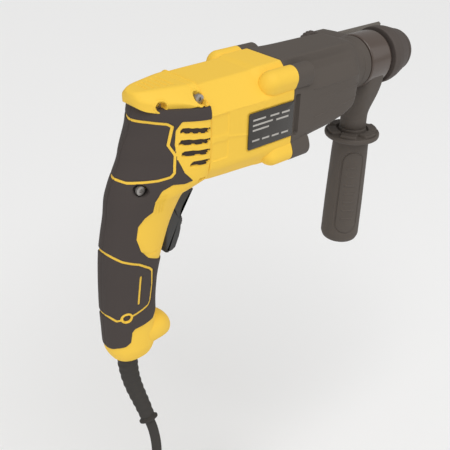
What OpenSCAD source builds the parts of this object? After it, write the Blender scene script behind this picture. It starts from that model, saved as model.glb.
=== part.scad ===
// Corded rotary hammer with a pistol grip, a side handle and a depth rod.
// Drawn in its own tool frame: X runs forward along the spindle, Z is up, the spindle axis is z = 0 and
// x = 0 is just ahead of the rear end. The module at_grip() then moves the origin to the middle of the grip.

/* [Body] */
// Half width of the motor housing
body_hw = 38; // [36.5:0.5:40]
// Top of the motor housing above the spindle axis
body_top = 28.5; // [28:0.5:30]
// Bottom of the motor housing below the spindle axis
body_low = 54; // [53:0.5:56]
// Wall thickness of the plastic housings
wall = 3; // [2.5:0.1:3.5]

/* [Grip] */
// Half width of the main grip
grip_hw = 17.5; // [16:0.5:19]
// Thickness of the rubber on the grip
rubber_t = 1.2; // [0.8:0.1:1.6]

/* [Side handle] */
// Radius of the side handle's grip at its lower end
side_r = 19.8; // [17:0.2:20]
// Length of the side handle's grip
side_len = 123; // [110:1:125]
// Length of the depth rod
rod_len = 178; // [120:1:178]

/* [Cord] */
// Diameter of the mains cord
cord_d = 9; // [8:0.5:9]

/* [Hidden] */
$fn = 64;
yellow = "#f5a81c";
black = "#2b2420";
dark_grey = "#3d332c";
steel = "#b9bcc0";
copper = "#b8692e";

// Places along X
grip_x = 10;
grip_z = -120;
seam_x = 66;
joint_x = 155;
neck_x = 261;
band_x0 = 273;
band_x1 = 302;
sleeve_x0 = 305;
cap_x0 = 334;
nose_x = 345.5;
side_x = 287;
dial_x = 57.5;
dial_z = -95;

// Shafts
motor_z = -6.2;
inter_z = -25;
pinion_teeth = 7;
gear_teeth = 40;
fine_m = 0.8;
coarse_teeth = 10;
spindle_teeth = 40;
coarse_m = 1;

// Neck and clamp
neck_r = 21.5;
tower_y = 32;
tower_high = 19;
tower_low = 46;
knob_x = 258;
knob_z = 6;
knob_r = 16;
band_r = 25;
flange_z = -73;
rod_y = 54;
rod_end_x = 382;
rod_z = 6;

// Cord: the lead is a list of points, and the coil is wound by rule
coil_x = 81;
coil_y = -36;
floor_z = -457;
coil_mid_r = 5.5*cord_d;
coil_out_r = coil_mid_r + cord_d;
coil_layers = 3;
land_r = 40;
land_turn = 180 + atan(land_r/coil_out_r);
sleeve_path = [[7, 0, -208], [7, -1, -220], [7, -4, -233], [8, -9, -245], [10, -17, -259], [11, -25, -272]];
lead_fall = [[11, -25, -272], [12, -29, -281], [12, -33, -294], [11, -35, -308], [10, -36, -325],
    [10, -36, -345], [10, -36, -365], [10, -36, -382]];
coil_top_z = floor_z + coil_layers*cord_d;
land_z = coil_top_z - cord_d/2;
tail_y = coil_y + coil_out_r;
plug_x = 20;
plug_z = floor_z + 17;
socket_x = 60;

function signed_pow(v, e) = sign(v)*pow(abs(v), e);
function ring_z(xc, z, a, b, n, m = 40) = [for (i = [0:m - 1]) let (t = 360*i/m)
    [xc + a*signed_pow(cos(t), 2/n), b*signed_pow(sin(t), 2/n), z]];
function ring_x(x, zc, hy, hz, n, m = 32) = [for (i = [0:m - 1]) let (t = 360*i/m)
    [x, hy*signed_pow(cos(t), 2/n), zc + hz*signed_pow(sin(t), 2/n)]];
// Corners of the housings' cross-section: a crowned top, sloping shoulders, upright sides and a round bottom
function half_outline(hw, top, low) = [[0.34*hw, top - 0.4], [0.55*hw, top - 3.4], [hw, 0.3*top],
    [hw, -0.62*low], [0.94*hw, -0.8*low], [0.76*hw, -0.93*low], [0.4*hw, -low]];
function outline(hw, top, low) = let (h = half_outline(hw, top, low))
    concat([for (p = h) p], [for (i = [len(h) - 1:-1:0]) [-h[i][0], h[i][1]]]);
// Cuts every corner of a closed outline, which rounds it
function cut_corners(p) = [for (i = [0:len(p) - 1]) let (q = p[(i + 1)%len(p)])
    each [0.75*p[i] + 0.25*q, 0.25*p[i] + 0.75*q]];
function section(hw, top, low) = let (s = cut_corners(cut_corners(outline(hw, top, low))))
    [for (i = [len(s) - 1:-1:0]) s[i]];
function section_ring(x, hw, top, low) = let (s = cut_corners(outline(hw, top, low)))
    [for (i = [len(s) - 1:-1:0]) [x, s[i][0], s[i][1]]];

// Moves the tool frame so that the origin is the middle of the main grip
module at_grip() {
    translate([-grip_x, 0, -grip_z]) children();
}

// Closed skin through a row of rings with the same number of points
module loft(rings) {
    m = len(rings[0]);
    k = len(rings);
    sides = [for (j = [0:k - 2]) for (i = [0:m - 1]) let (a = j*m + i, b = j*m + (i + 1)%m)
        each [[a, a + m, b + m], [a, b + m, b]]];
    caps = [[for (i = [0:m - 1]) i], [for (i = [m - 1:-1:0]) (k - 1)*m + i]];
    polyhedron(points = [for (r = rings) each r], faces = concat(sides, caps));
}

// Flat outline in Y and Z carried from x0 to x1
module prism_x(x0, x1) {
    translate([x0, 0, 0]) rotate([90, 0, 90]) linear_extrude(x1 - x0) children();
}

// Flat outline in X and Z carried from y0 to y1
module prism_y(y0, y1) {
    translate([0, y1, 0]) rotate([90, 0, 0]) linear_extrude(y1 - y0) children();
}

// Solid rod along X
module rod_x(x0, x1, r, y = 0, z = 0) {
    translate([x0, y, z]) rotate([0, 90, 0]) cylinder(h = x1 - x0, r = r);
}

// Tube along X
module tube_x(x0, x1, r, hole, y = 0, z = 0) {
    difference() {
        rod_x(x0, x1, r, y, z);
        rod_x(x0 - 1, x1 + 1, hole, y, z);
    }
}

// Toothed disc along X with the first tooth pointing along +Z
module gear_x(x0, x1, teeth, module_size, y, z, turn = 0) {
    pitch_r = teeth*module_size/2;
    root_r = pitch_r - 1.05*module_size;
    tip_r = pitch_r + 0.75*module_size;
    step = 360/teeth;
    points = [for (i = [0:teeth - 1]) let (a = i*step)
        each [[root_r, a - 0.26*step], [tip_r, a - 0.1*step], [tip_r, a + 0.1*step], [root_r, a + 0.26*step]]];
    translate([x0, y, z]) rotate([90, 0, 90]) rotate([0, 0, 90 + turn]) linear_extrude(x1 - x0)
        polygon([for (p = points) [p[0]*cos(p[1]), p[0]*sin(p[1])]]);
}

// Where the four front screws stand
module at_towers() {
    for (side = [-1, 1]) {
        translate([0, side*tower_y, tower_high]) children();
        translate([0, side*tower_y, -tower_low]) children();
    }
}

// Stations of the grip, lowest first: middle, height, half depth, half width, squareness
grip_stations = [[12, -209, 13, 11, 2.4], [11, -205, 18.5, 15, 2.4], [10.5, -195, 22.8, 17.6, 2.3],
    [10.4, -176, 23.5, grip_hw, 2.3], [10, -158, 23.8, grip_hw - 0.3, 2.3], [11.2, -135, 24.8, grip_hw - 0.5, 2.3],
    [13.5, -118, 26.3, grip_hw, 2.3], [16.5, -103, 28, grip_hw + 0.7, 2.3], [20.5, -88, 29.5, grip_hw + 1.7, 2.2],
    [25.5, -74, 31.5, 20.5, 2.1], [33, -58, 37.5, 25, 1.8], [48, -50, 50.5, 30, 1.7], [60, -42, 59.5, 34.5, 1.6],
    [66, -22, 57, 37.2, 1.5], [66, -2, 48.3, 37.2, 1.6], [66, 10, 46, 36.8, 1.6], [66, 15, 44.5, 35.5, 1.6]];
// Front edge of the handle shells seen from the side
front_edge = [[-60, -240], [70, -240], [70, -125], [60, -118], [54, -108], [54, -92], [58, -78], [64, -66],
    [seam_x, -58], [seam_x, 60], [-60, 60]];
// Stations of the rear cap, rearmost first: place, half width, top, underside
cap_stations = [[18.6, 6, 26.6, 17], [20, 10.5, 27.4, 15.6], [24, 14.8, 28, 14.2], [29.5, 17.8, 28.3, 13],
    [38, 21, 28.5, 12.2], [48, 26.5, 28.6, 12], [58, 33, 28.6, 12], [66, 35.5, 28.6, 12]];
function cap_ring(x, hw, top, low) = let (s = cut_corners([[-hw, low], [-hw, low + 0.45*(top - low)],
    [-0.6*hw, top - 1.2], [0, top], [0.6*hw, top - 1.2], [hw, low + 0.45*(top - low)], [hw, low], [0, low - 0.4]]))
    [for (i = [len(s) - 1:-1:0]) [x, s[i][0], s[i][1]]];
heel_stations = [[22, -188, 14, 17, 2.4], [36, -188, 13, 15.5, 2.3], [44, -191, 11.8, 12.5, 2.2],
    [48.5, -193, 9.5, 9.5, 2.2], [50.5, -194, 5.5, 5.5, 2]];

// The handle's outer skin, drawn in by inset
module handle_form(inset) {
    intersection() {
        loft([for (s = grip_stations) ring_z(s[0], s[1] + (s[1] < -206 ? inset : 0), s[2] - inset, s[3] - inset,
            s[4])]);
        prism_y(-50, 50) polygon(front_edge);
    }
}

module cap_form(inset) {
    loft([for (s = cap_stations) cap_ring(s[0] + (s[0] < 24 ? inset : 0), s[1] - inset, s[2] - inset,
        s[3] + 0.7*inset)]);
}

// Space that the trigger and the reversing lever work in
module trigger_bay() {
    translate([38, -9, -121]) cube([64, 18, 64]);
}

module handle_half(side) {
    difference() {
        intersection() {
            union() {
                handle_form(0);
                cap_form(0);
                loft([for (s = heel_stations) ring_x(s[0], s[1], s[2], s[3], s[4])]);
            }
            translate([-60, side > 0 ? 0 : -60, -260]) cube([60 + seam_x, 60, 320]);
        }
        handle_form(wall);
        cap_form(wall);
        trigger_bay();
        translate([50, -33, -40]) cube([20, 66, 52]);
        translate([7, 0, -215]) cylinder(h = 20, r = 9.3);
        for (i = [0:3]) translate([43, side > 0 ? 24 : -44, -1 - i*9]) cube([21, 20, 3]);
        translate([34, 12, -86]) rotate([-90, 0, 0]) cylinder(h = 20, r = 5.3);
        screw_holes();
    }
}

// Cross holes of the four handle screws: place, height, and head face on the right side
handle_screw_places = [[33, 17.5, -13], [61, 20, -27], [14, -45, -16], [-1.5, -158.2, -10.5]];

module screw_holes() {
    for (s = handle_screw_places) {
        translate([s[0], s[2] - 6, s[1]]) rotate([-90, 0, 0]) cylinder(h = 9, r = 4);
        translate([s[0], s[2], s[1]]) rotate([-90, 0, 0]) cylinder(h = -2*s[2] - 4, r = 2.1);
    }
}

// Bosses inside the shells that the handle screws clamp together
module handle_half_with_bosses(side) {
    difference() {
        union() {
            handle_half(side);
            intersection() {
                for (s = handle_screw_places)
                    translate([s[0], s[2] + 2, s[1]]) rotate([-90, 0, 0]) cylinder(h = -2*s[2] - 4, r = 4.6);
                handle_or_cap_inner();
                translate([-60, side > 0 ? 0 : -60, -260]) cube([60 + seam_x, 60, 320]);
            }
        }
        screw_holes();
    }
}

module handle_or_cap_inner() {
    handle_form(wall - 0.3);
    cap_form(wall - 0.3);
}

module handle_shell_right() {
    color(yellow) at_grip() handle_half_with_bosses(-1);
}

module handle_shell_left() {
    color(yellow) at_grip() handle_half_with_bosses(1);
}

// Outline of the rubber seen from the side
rubber_outline = [[-30, 9], [62, 9], [62, 3], [42, 1], [38, -14], [42, -32], [44, -46], [34, -56], [30, -68],
    [24, -84], [30, -100], [40, -116], [44, -124], [44, -156], [32, -168], [14, -174], [6, -198], [-30, -198]];

module rubber_half(side) {
    difference() {
        intersection() {
            handle_form(-rubber_t);
            prism_y(side > 0 ? 0.3 : -60, side > 0 ? 60 : -0.3) polygon(rubber_outline);
        }
        handle_form(0);
        cap_form(0);
        trigger_bay();
        translate([34, 12, -86]) rotate([-90, 0, 0]) cylinder(h = 20, r = 5.3);
        screw_holes();
    }
}

module grip_rubber_right() {
    color(black) at_grip() rubber_half(-1);
}

module grip_rubber_left() {
    color(black) at_grip() rubber_half(1);
}

// Inside of the motor housing, less the screw posts and the ribs that hold the stator
module motor_cavity() {
    difference() {
        polygon(section(body_hw - wall, body_top - wall, body_low - wall));
        for (side = [-1, 1]) {
            translate([side*tower_y, tower_high]) circle(r = 6);
            translate([side*tower_y, -tower_low]) circle(r = 6);
            translate([side*33 - 3, motor_z - 5]) square([6, 10]);
        }
    }
}

module motor_housing() {
    color(yellow) at_grip() difference() {
        union() {
            prism_x(seam_x, joint_x) polygon(section(body_hw, body_top, body_low));
            at_towers() rod_x(128, joint_x, 8.6);
        }
        prism_x(seam_x - 1, 70) motor_cavity();
        prism_x(76, joint_x + 1) motor_cavity();
        prism_x(69, 77) difference() {
            motor_cavity();
            translate([-body_hw, motor_z - 12]) square([2*body_hw, 24]);
        }
        rod_x(69, 77, 9.5, 0, motor_z);
        at_towers() rod_x(100, joint_x + 1, 2.1);
    }
}

module gear_housing() {
    outer = [[joint_x, body_hw - 0.3, body_top + 0.3, body_low], [178, 37, 28.5, 50], [181, 36, 28.5, 45.5],
        [222, 35.5, 28.5, 42], [240, 33.5, 28, 38], [252, 30, 27, 33], [neck_x, 24.5, 25, 26]];
    inner = [[joint_x - 1, 34, 24.5, 50], [178, 33, 24.5, 46], [181, 32.5, 24.5, 42],
        [222, 32, 24.5, 38.5], [236, 30, 24, 35], [247, 26, 23, 29]];
    color(dark_grey) at_grip() difference() {
        union() {
            difference() {
                union() {
                    loft([for (s = outer) section_ring(s[0], s[1], s[2], s[3])]);
                    at_towers() rod_x(joint_x, 178, 8.8);
                }
                loft([for (s = inner) section_ring(s[0], s[1], s[2], s[3])]);
            }
            rod_x(246, 303, neck_r);
            translate([knob_x, 12, knob_z]) rotate([-90, 0, 0]) cylinder(h = 24.8, r = 10.4);
            intersection() {
                translate([221.9, -40, -50]) cube([10.6, 80, 90]);
                loft([for (s = outer) section_ring(s[0], s[1] - 1, s[2] - 1, s[3] - 1)]);
            }
        }
        rod_x(240, 264, 16.5);
        rod_x(263, 276.02, 18);
        rod_x(276, 280, 14);
        rod_x(279.98, 286, 18);
        rod_x(285, 310, 13.6);
        rod_x(221, 240, 6, 0, inter_z);
        rod_x(220, 240, 17.52);
        at_towers() rod_x(joint_x - 1, 190, 2.1);
        at_towers() rod_x(174, 190, 4.2);
        translate([knob_x, 20, knob_z]) rotate([-90, 0, 0]) cylinder(h = 30, r = 6.2);
        translate([155, -45, -32]) cube([8, 90, 34]);
    }
}

module bearing_flange() {
    color(steel) at_grip() difference() {
        prism_x(149, 154.9) polygon(section(body_hw - wall - 0.1, body_top - wall - 0.1, body_low - wall - 0.1));
        rod_x(140, 160, 11, 0, motor_z);
        rod_x(140, 160, 6, 0, inter_z);
        for (side = [-1, 1]) {
            rod_x(140, 160, 6.1, side*tower_y, tower_high);
            rod_x(140, 160, 6.1, side*tower_y, -tower_low);
            translate([140, side*33 - 3.1, motor_z - 5.1]) cube([20, 6.2, 10.2]);
        }
    }
}

module rating_plate() {
    color(black) at_grip() translate([103.5, -body_hw - 0.95, -30.5]) cube([51, 0.9, 30.7]);
}

module screw_x(x_head, x_tip, r, head_r) {
    difference() {
        union() {
            rod_x(min(x_head, x_tip), max(x_head, x_tip), r);
            rod_x(x_head - 4, x_head, head_r);
        }
        translate([x_head - 1.8, 0, 0]) rotate([0, 90, 0]) cylinder(h = 3, r = 1.8, $fn = 6);
    }
}

module front_screws() {
    color(steel) at_grip() at_towers() screw_x(178, 129, 2, 3.9);
}

module handle_screws() {
    color(steel) at_grip() for (s = handle_screw_places)
        translate([s[0], s[2], s[1]]) rotate([-90, 0, 0]) difference() {
            union() {
                translate([0, 0, -2.4]) cylinder(h = 2.4, r = 3.7);
                cylinder(h = -2*s[2] - 6, r = 2);
            }
            translate([0, 0, -3]) cylinder(h = 1.8, r = 1.7, $fn = 6);
        }
}

module stator_core() {
    color("#8a8d91") at_grip() difference() {
        rod_x(94, 130, 29.9, 0, motor_z);
        rod_x(93, 131, 18.6, 0, motor_z);
        for (turn = [-50, 50, 130, 230]) translate([90, 0, motor_z]) rotate([turn, 0, 0])
            translate([0, -4, 17]) cube([44, 8, 8]);
    }
}

module field_coils() {
    color(copper) at_grip() for (side = [-1, 1]) intersection() {
        difference() {
            rod_x(87, 137, 27, 0, motor_z);
            rod_x(86, 138, 20.5, 0, motor_z);
            rod_x(93.9, 130.1, 40, 0, motor_z);
        }
        translate([80, -40, side > 0 ? motor_z + 7 : motor_z - 37]) cube([70, 80, 30]);
    }
}

module armature() {
    color(steel) at_grip() {
        rod_x(69, 98, 4, 0, motor_z);
        difference() {
            rod_x(98, 128, 17.8, 0, motor_z);
            for (i = [0:11]) translate([97, 0, motor_z]) rotate([30*i, 0, 0])
                translate([0, -1.2, 15]) cube([32, 2.4, 4]);
        }
        rod_x(128, 158, 4, 0, motor_z);
        gear_x(158, 169, pinion_teeth, fine_m, 0, motor_z, 180);
    }
}

module armature_winding() {
    color(copper) at_grip() {
        tube_x(128, 133, 14.5, 4, 0, motor_z);
        tube_x(93.5, 98, 14.5, 4, 0, motor_z);
    }
}

module commutator() {
    color(copper) at_grip() difference() {
        tube_x(80, 92.5, 10.5, 4, 0, motor_z);
        for (i = [0:23]) translate([79, 0, motor_z]) rotate([15*i, 0, 0]) translate([0, -0.3, 9.4]) cube([15, 0.6, 3]);
    }
}

module cooling_fan() {
    color(black) at_grip() {
        tube_x(138.4, 140.5, 26, 4, 0, motor_z);
        tube_x(134, 138.4, 8, 4, 0, motor_z);
        for (i = [0:12]) translate([0, 0, motor_z]) rotate([360/13*i, 0, 0])
            translate([140.5, -0.7, 13]) cube([5.5, 1.4, 12.5]);
    }
}

// Ball bearing: two rings and the ball set, left as separate solids
module ball_bearing_x(x0, x1, r, hole, z) {
    gap = (r - hole)/3;
    difference() {
        rod_x(x0, x1, r, 0, z);
        rod_x(x0 - 1, x1 + 1, hole, 0, z);
        translate([(x0 + x1)/2, 0, z]) rotate([0, 90, 0]) rotate_extrude() translate([(r + hole)/2, 0])
            circle(r = gap*0.62, $fn = 24);
    }
    for (i = [0:7]) translate([(x0 + x1)/2, 0, z]) rotate([45*i, 0, 0]) translate([0, 0, (r + hole)/2])
        sphere(r = gap*0.6, $fn = 24);
}

module front_motor_bearing() {
    color(steel) at_grip() ball_bearing_x(148, 154.8, 11, 4.04, motor_z);
}

module rear_motor_bearing() {
    color(steel) at_grip() ball_bearing_x(70, 76, 9.5, 4.04, motor_z);
}

module brush_holders() {
    color("#c9a227") at_grip() for (side = [-1, 1]) difference() {
        translate([82, side > 0 ? 12.5 : -27.5, motor_z - 5]) cube([9, 15, 10]);
        translate([83.5, side > 0 ? 11 : -29, motor_z - 3.5]) cube([6, 18, 7]);
    }
}

module carbon_brushes() {
    color(black) at_grip() for (side = [-1, 1])
        translate([83.6, side > 0 ? 10.8 : -22.8, motor_z - 3.4]) cube([5.8, 12, 6.8]);
}

module intermediate_shaft() {
    color(steel) at_grip() {
        rod_x(149.5, 158, 3.5, 0, inter_z);
        rod_x(158, 176, 4, 0, inter_z);
        rod_x(176, 190, 5.5, 0, inter_z);
        rod_x(190, 204, 4, 0, inter_z);
        gear_x(204, 221, coarse_teeth, coarse_m, 0, inter_z, 18);
        rod_x(221, 234, 3.5, 0, inter_z);
    }
}

module intermediate_gear() {
    color(steel) at_grip() difference() {
        gear_x(159, 168, gear_teeth, fine_m, 0, inter_z, 4.5);
        rod_x(158, 169, 4, 0, inter_z);
        for (i = [0:4]) translate([0, 0, inter_z]) rotate([72*i, 0, 0]) rod_x(158, 169, 2.2, 0, 9.5);
    }
}

module intermediate_bearings() {
    color(steel) at_grip() {
        tube_x(150, 154.8, 6, 3.55, 0, inter_z);
        tube_x(226, 232.3, 6, 3.55, 0, inter_z);
    }
}

module wobble_ring() {
    color(steel) at_grip() {
        tube_x(179, 187, 11.2, 7.5, 0, inter_z);
        translate([183, 0, inter_z + 10.6]) cylinder(h = 14.4 + 4, r = 3);
        for (side = [-1, 1]) translate([183, side*11.9, inter_z]) rotate([90, 0, 0])
            cylinder(h = 2.4, r = 2.5, center = true);
    }
}

module spindle() {
    color(steel) at_grip() difference() {
        union() {
            rod_x(202, 262, 15);
            rod_x(262, 300, 12.95);
            rod_x(300, 343, 9.5);
        }
        rod_x(201, 262, 12.03);
        rod_x(261, 282, 9.1);
        rod_x(281, 300, 6);
        rod_x(299, 347, 5.05);
        for (side = [-1, 1]) translate([316, 0, 0]) rotate([90*side, 0, 0]) translate([0, 0, 5.25])
            cylinder(h = 5, r = 3.1);
    }
}

module spindle_gear() {
    color(steel) at_grip() difference() {
        gear_x(207, 217, spindle_teeth, coarse_m, 0, 0, 180);
        rod_x(206, 218, 15);
    }
}

module spindle_needle_bearing() {
    color(steel) at_grip() tube_x(222, 232.4, 17.5, 15.04);
}

module spindle_bearing() {
    color(steel) at_grip() ball_bearing_x(265, 276, 18, 13.02, 0);
}

module spindle_seal() {
    color(black) at_grip() tube_x(280, 286, 18, 13.03);
}

module piston() {
    color("#9aa0a6") at_grip() difference() {
        rod_x(176, 222, 11.9);
        translate([177, -7, -13]) cube([12.5, 14, 26]);
        rod_x(215, 223, 9);
    }
}

module striker() {
    color(steel) at_grip() difference() {
        union() {
            rod_x(234, 250, 11.9);
            rod_x(250, 254, 7);
        }
        translate([240, 0, 0]) rotate([0, 90, 0]) rotate_extrude() translate([11.9, 0]) circle(r = 1.3, $fn = 24);
    }
}

module striker_ring() {
    color(black) at_grip() translate([240, 0, 0]) rotate([0, 90, 0]) rotate_extrude() intersection() {
        translate([11.9, 0]) circle(r = 1.25, $fn = 24);
        translate([10.6, -2]) square([1.38, 4]);
    }
}

module impact_bolt() {
    color(steel) at_grip() {
        rod_x(259, 264, 5);
        rod_x(264, 278, 9.05);
        rod_x(278, 296, 5.95);
    }
}

module locking_balls() {
    color(steel) at_grip() for (side = [-1, 1]) translate([316, side*8.5, 0]) sphere(r = 3);
}

module chuck_sleeve() {
    color(black) at_grip() difference() {
        union() {
            rod_x(sleeve_x0, 312, 27.4);
            translate([312, 0, 0]) rotate([0, 90, 0]) cylinder(h = cap_x0 - 312, r1 = 27.4, r2 = 21.6);
        }
        rod_x(sleeve_x0 - 1, 313, 25.6);
        rod_x(312, cap_x0 + 1, 14);
    }
}

module dust_cap() {
    color(black) at_grip() difference() {
        union() {
            translate([cap_x0 + 0.4, 0, 0]) rotate([0, 90, 0]) cylinder(h = 7, r1 = 21.4, r2 = 18.6);
            translate([cap_x0 + 7.4, 0, 0]) rotate([0, 90, 0]) cylinder(h = nose_x - cap_x0 - 7.4, r1 = 18.6, r2 = 13);
        }
        rod_x(330, 343, 9.52);
        rod_x(342, 360, 6);
    }
}

module clamp_band() {
    color(dark_grey) at_grip() difference() {
        tube_x(band_x0, band_x1, band_r, neck_r + 0.05);
        translate([band_x0 - 1, -4, -30]) cube([40, 8, 20]);
    }
}

module clamp_saddle() {
    color(dark_grey) at_grip() difference() {
        union() {
            hull() {
                translate([276, -22, -16]) cube([20, 44, 2]);
                translate([side_x, 0, -58]) cylinder(h = 1, r = 13, $fn = 32);
            }
            translate([side_x, 0, -67.4]) cylinder(h = 9.9, r = 13);
        }
        rod_x(260, 310, band_r + 0.02);
        translate([side_x, 0, -80]) cylinder(h = 60, r = 4.2);
    }
}

module rod_lug() {
    color(dark_grey) at_grip() difference() {
        hull() {
            rod_x(279, 297, 6.5, rod_y, rod_z);
            translate([279, 18, -2]) cube([18, 4, 14]);
        }
        rod_x(270, 305, band_r + 0.02);
        rod_x(270, 305, 3.1, rod_y, rod_z);
        translate([side_x, rod_y + 3, rod_z]) rotate([-90, 0, 0]) cylinder(h = 6, r = 2.55);
    }
}

module rod_lock_screw() {
    color(black) at_grip() translate([side_x, rod_y + 3.2, rod_z]) rotate([-90, 0, 0]) {
        cylinder(h = 4, r = 2.5);
        translate([0, 0, 3.6]) cylinder(h = 6, r = 6, $fn = 12);
    }
}

module tie_bolt() {
    color(steel) at_grip() translate([side_x, 0, -104]) cylinder(h = 76, r = 4);
}

module side_grip() {
    color(black) at_grip() difference() {
        union() {
            translate([side_x, 0, flange_z - 5]) cylinder(h = 5, r = 27.2);
            translate([side_x, 0, flange_z - 5]) cylinder(h = 10.4, r = 13);
            translate([side_x, 0, flange_z - side_len + 8]) cylinder(h = side_len - 12, r1 = side_r, r2 = side_r - 1.6);
            translate([side_x, 0, flange_z - side_len + 2]) cylinder(h = 6.1, r1 = side_r - 2.4, r2 = side_r);
            translate([side_x, 0, flange_z - side_len]) cylinder(h = 2.1, r1 = side_r - 6, r2 = side_r - 2.4);
        }
        translate([side_x, 0, -108]) cylinder(h = 60, r = 4.05);
        for (i = [0:5]) translate([side_x, 0, flange_z]) rotate([0, 0, 60*i + 30])
            translate([14.5, -4, -2.5]) cube([9.5, 8, 4]);
    }
}

module depth_rod() {
    color(dark_grey) at_grip() translate([rod_end_x - rod_len, rod_y, rod_z]) rotate([0, 90, 0])
        cylinder(h = rod_len, r = 2.9, $fn = 6);
}

// Side outline of the trigger
trigger_outline = [[45, -63], [73, -64], [75.5, -68], [70, -73.5], [64, -81], [62, -90], [62, -100], [60, -107],
    [56, -117], [52, -119], [45, -119]];

module trigger() {
    color(black) at_grip() difference() {
        prism_y(-7.6, 7.6) polygon(trigger_outline);
        prism_y(-3.9, 3.9) translate([dial_x, dial_z]) circle(r = 9.2);
    }
}

module speed_dial() {
    color(black) at_grip() difference() {
        prism_y(-3.3, 3.3) translate([dial_x, dial_z]) circle(r = 8.6);
        for (i = [0:23]) prism_y(-5, 5) translate([dial_x, dial_z]) rotate(15*i) translate([8.2, -0.35]) square([1, 0.7]);
    }
}

module reversing_lever() {
    color(black) at_grip() {
        translate([46, 0, -60.6]) cylinder(h = 3, r = 5);
        translate([46, -2.5, -60.6]) cube([24, 5, 3]);
        translate([66, -4, -60.6]) cube([9, 8, 3]);
    }
}

module lock_on_button() {
    color(black) at_grip() translate([34, 15, -86]) rotate([-90, 0, 0]) cylinder(h = 8.4, r = 5);
}

module switch_body() {
    color("#1d1b1a") at_grip() translate([11, -9.5, -109]) cube([25, 19, 43]);
}

module mode_knob() {
    color(black) at_grip() difference() {
        translate([knob_x, 0, knob_z]) rotate([-90, 0, 0]) {
            translate([0, 0, 37.2]) cylinder(h = 3.8, r = knob_r);
            translate([0, 0, 40.9]) cylinder(h = 4.3, r = knob_r - 1);
            translate([0, 0, 26]) cylinder(h = 12, r = 6);
        }
        for (i = [0:23]) translate([knob_x, 41.6, knob_z]) rotate([0, 15*i, 0])
            translate([knob_r - 1.8, 0, -0.8]) cube([2, 8, 1.6]);
        translate([knob_x, 41, knob_z + 7]) rotate([-90, 0, 0]) cylinder(h = 8, r = 4.3);
    }
}

module mode_release_button() {
    color(yellow) at_grip() translate([knob_x, 43.2, knob_z + 7]) rotate([-90, 0, 0]) cylinder(h = 3.4, r = 4);
}

// Points of the skin of a round cord around point p, across direction d
function across(d) = let (s = cross(d, [0, 1, 0.2])) s/norm(s);
function cord_ring(p, d, r, m) = let (u = across(d), v = cross(d, u)/norm(d))
    [for (i = [0:m - 1]) p + r*(cos(360*i/m)*u + sin(360*i/m)*v)];
function heading(path, i) = let (d = path[min(i + 1, len(path) - 1)] - path[max(i - 1, 0)]) d/norm(d);

// Round bar along a path, with a radius for every point
module swept(path, radii, m) {
    loft([for (i = [0:len(path) - 1]) cord_ring(path[i], heading(path, i), radii[i], m)]);
}

module cord_sleeve() {
    n = len(sleeve_path) - 1;
    color(black) at_grip() swept(sleeve_path, [for (i = [0:n]) 9 - (9 - 6.2)*i/n], 20);
}

module cord_clamp() {
    color(black) at_grip() translate([-2, -11, -198]) cube([24, 22, 8]);
}

// Quarter bend from the fall into the outer turn of the coil
function land_point(turn) = let (e = [cos(land_turn), sin(land_turn)], t = [-sin(land_turn), cos(land_turn)])
    [coil_x + coil_out_r*e[0] - land_r*t[0]*cos(turn), coil_y + coil_out_r*e[1] - land_r*t[1]*cos(turn),
    land_z + land_r*(1 - sin(turn))];
lead_path = concat(lead_fall, [for (turn = [0:15:75]) land_point(turn)]);

module cord_lead() {
    color(black) at_grip() swept(lead_path, [for (p = lead_path) cord_d/2], 12);
}

module cord_coil() {
    color(black) at_grip() translate([coil_x, coil_y, floor_z]) difference() {
        cylinder(h = coil_layers*cord_d, r = coil_out_r + cord_d/2);
        translate([0, 0, -1]) cylinder(h = coil_layers*cord_d + 2, r = coil_mid_r - 1.5*cord_d);
    }
}

module coil_tie() {
    tie_t = 1.5;
    wide = 3*cord_d;
    color("#d8d4cc") at_grip() translate([coil_x + coil_mid_r, coil_y, floor_z]) difference() {
        translate([-wide/2 - tie_t, -5, 0]) cube([wide + 2*tie_t, 10, coil_layers*cord_d + tie_t]);
        translate([-wide/2 - 0.6, -6, -1]) cube([wide + 0.8, 12, coil_layers*cord_d + 1.02]);
    }
}

// Cord from the coil's lowest outer turn to the plug
tail_path = [[socket_x, tail_y, floor_z + 4.6], [50, tail_y, floor_z + 4.6], [40, tail_y, floor_z + 4.8],
    [30, tail_y, floor_z + 5.6], [plug_x, tail_y, floor_z + 6.6]];

module cord_tail() {
    color(black) at_grip() swept(tail_path, [for (p = tail_path) cord_d/2], 12);
}

module plug() {
    color(black) at_grip() {
        hull() {
            translate([plug_x - 30, tail_y, plug_z]) rotate([0, -90, 0]) cylinder(h = 6, r = 17, $fn = 32);
            translate([plug_x - 26, tail_y, plug_z - 1]) rotate([0, -90, 0]) cylinder(h = 1, r = 14, $fn = 32);
        }
        hull() {
            translate([plug_x - 26, tail_y, plug_z - 1]) rotate([0, -90, 0]) cylinder(h = 1, r = 13.5, $fn = 32);
            translate([plug_x, tail_y, floor_z + 7]) rotate([0, -90, 0]) cylinder(h = 1, r = 6.8, $fn = 32);
        }
    }
}

module plug_pins() {
    color(steel) at_grip() for (side = [-1, 1])
        translate([plug_x - 36, tail_y + side*9.5, plug_z]) rotate([0, -90, 0]) cylinder(h = 19, r = 2.4);
}

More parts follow.
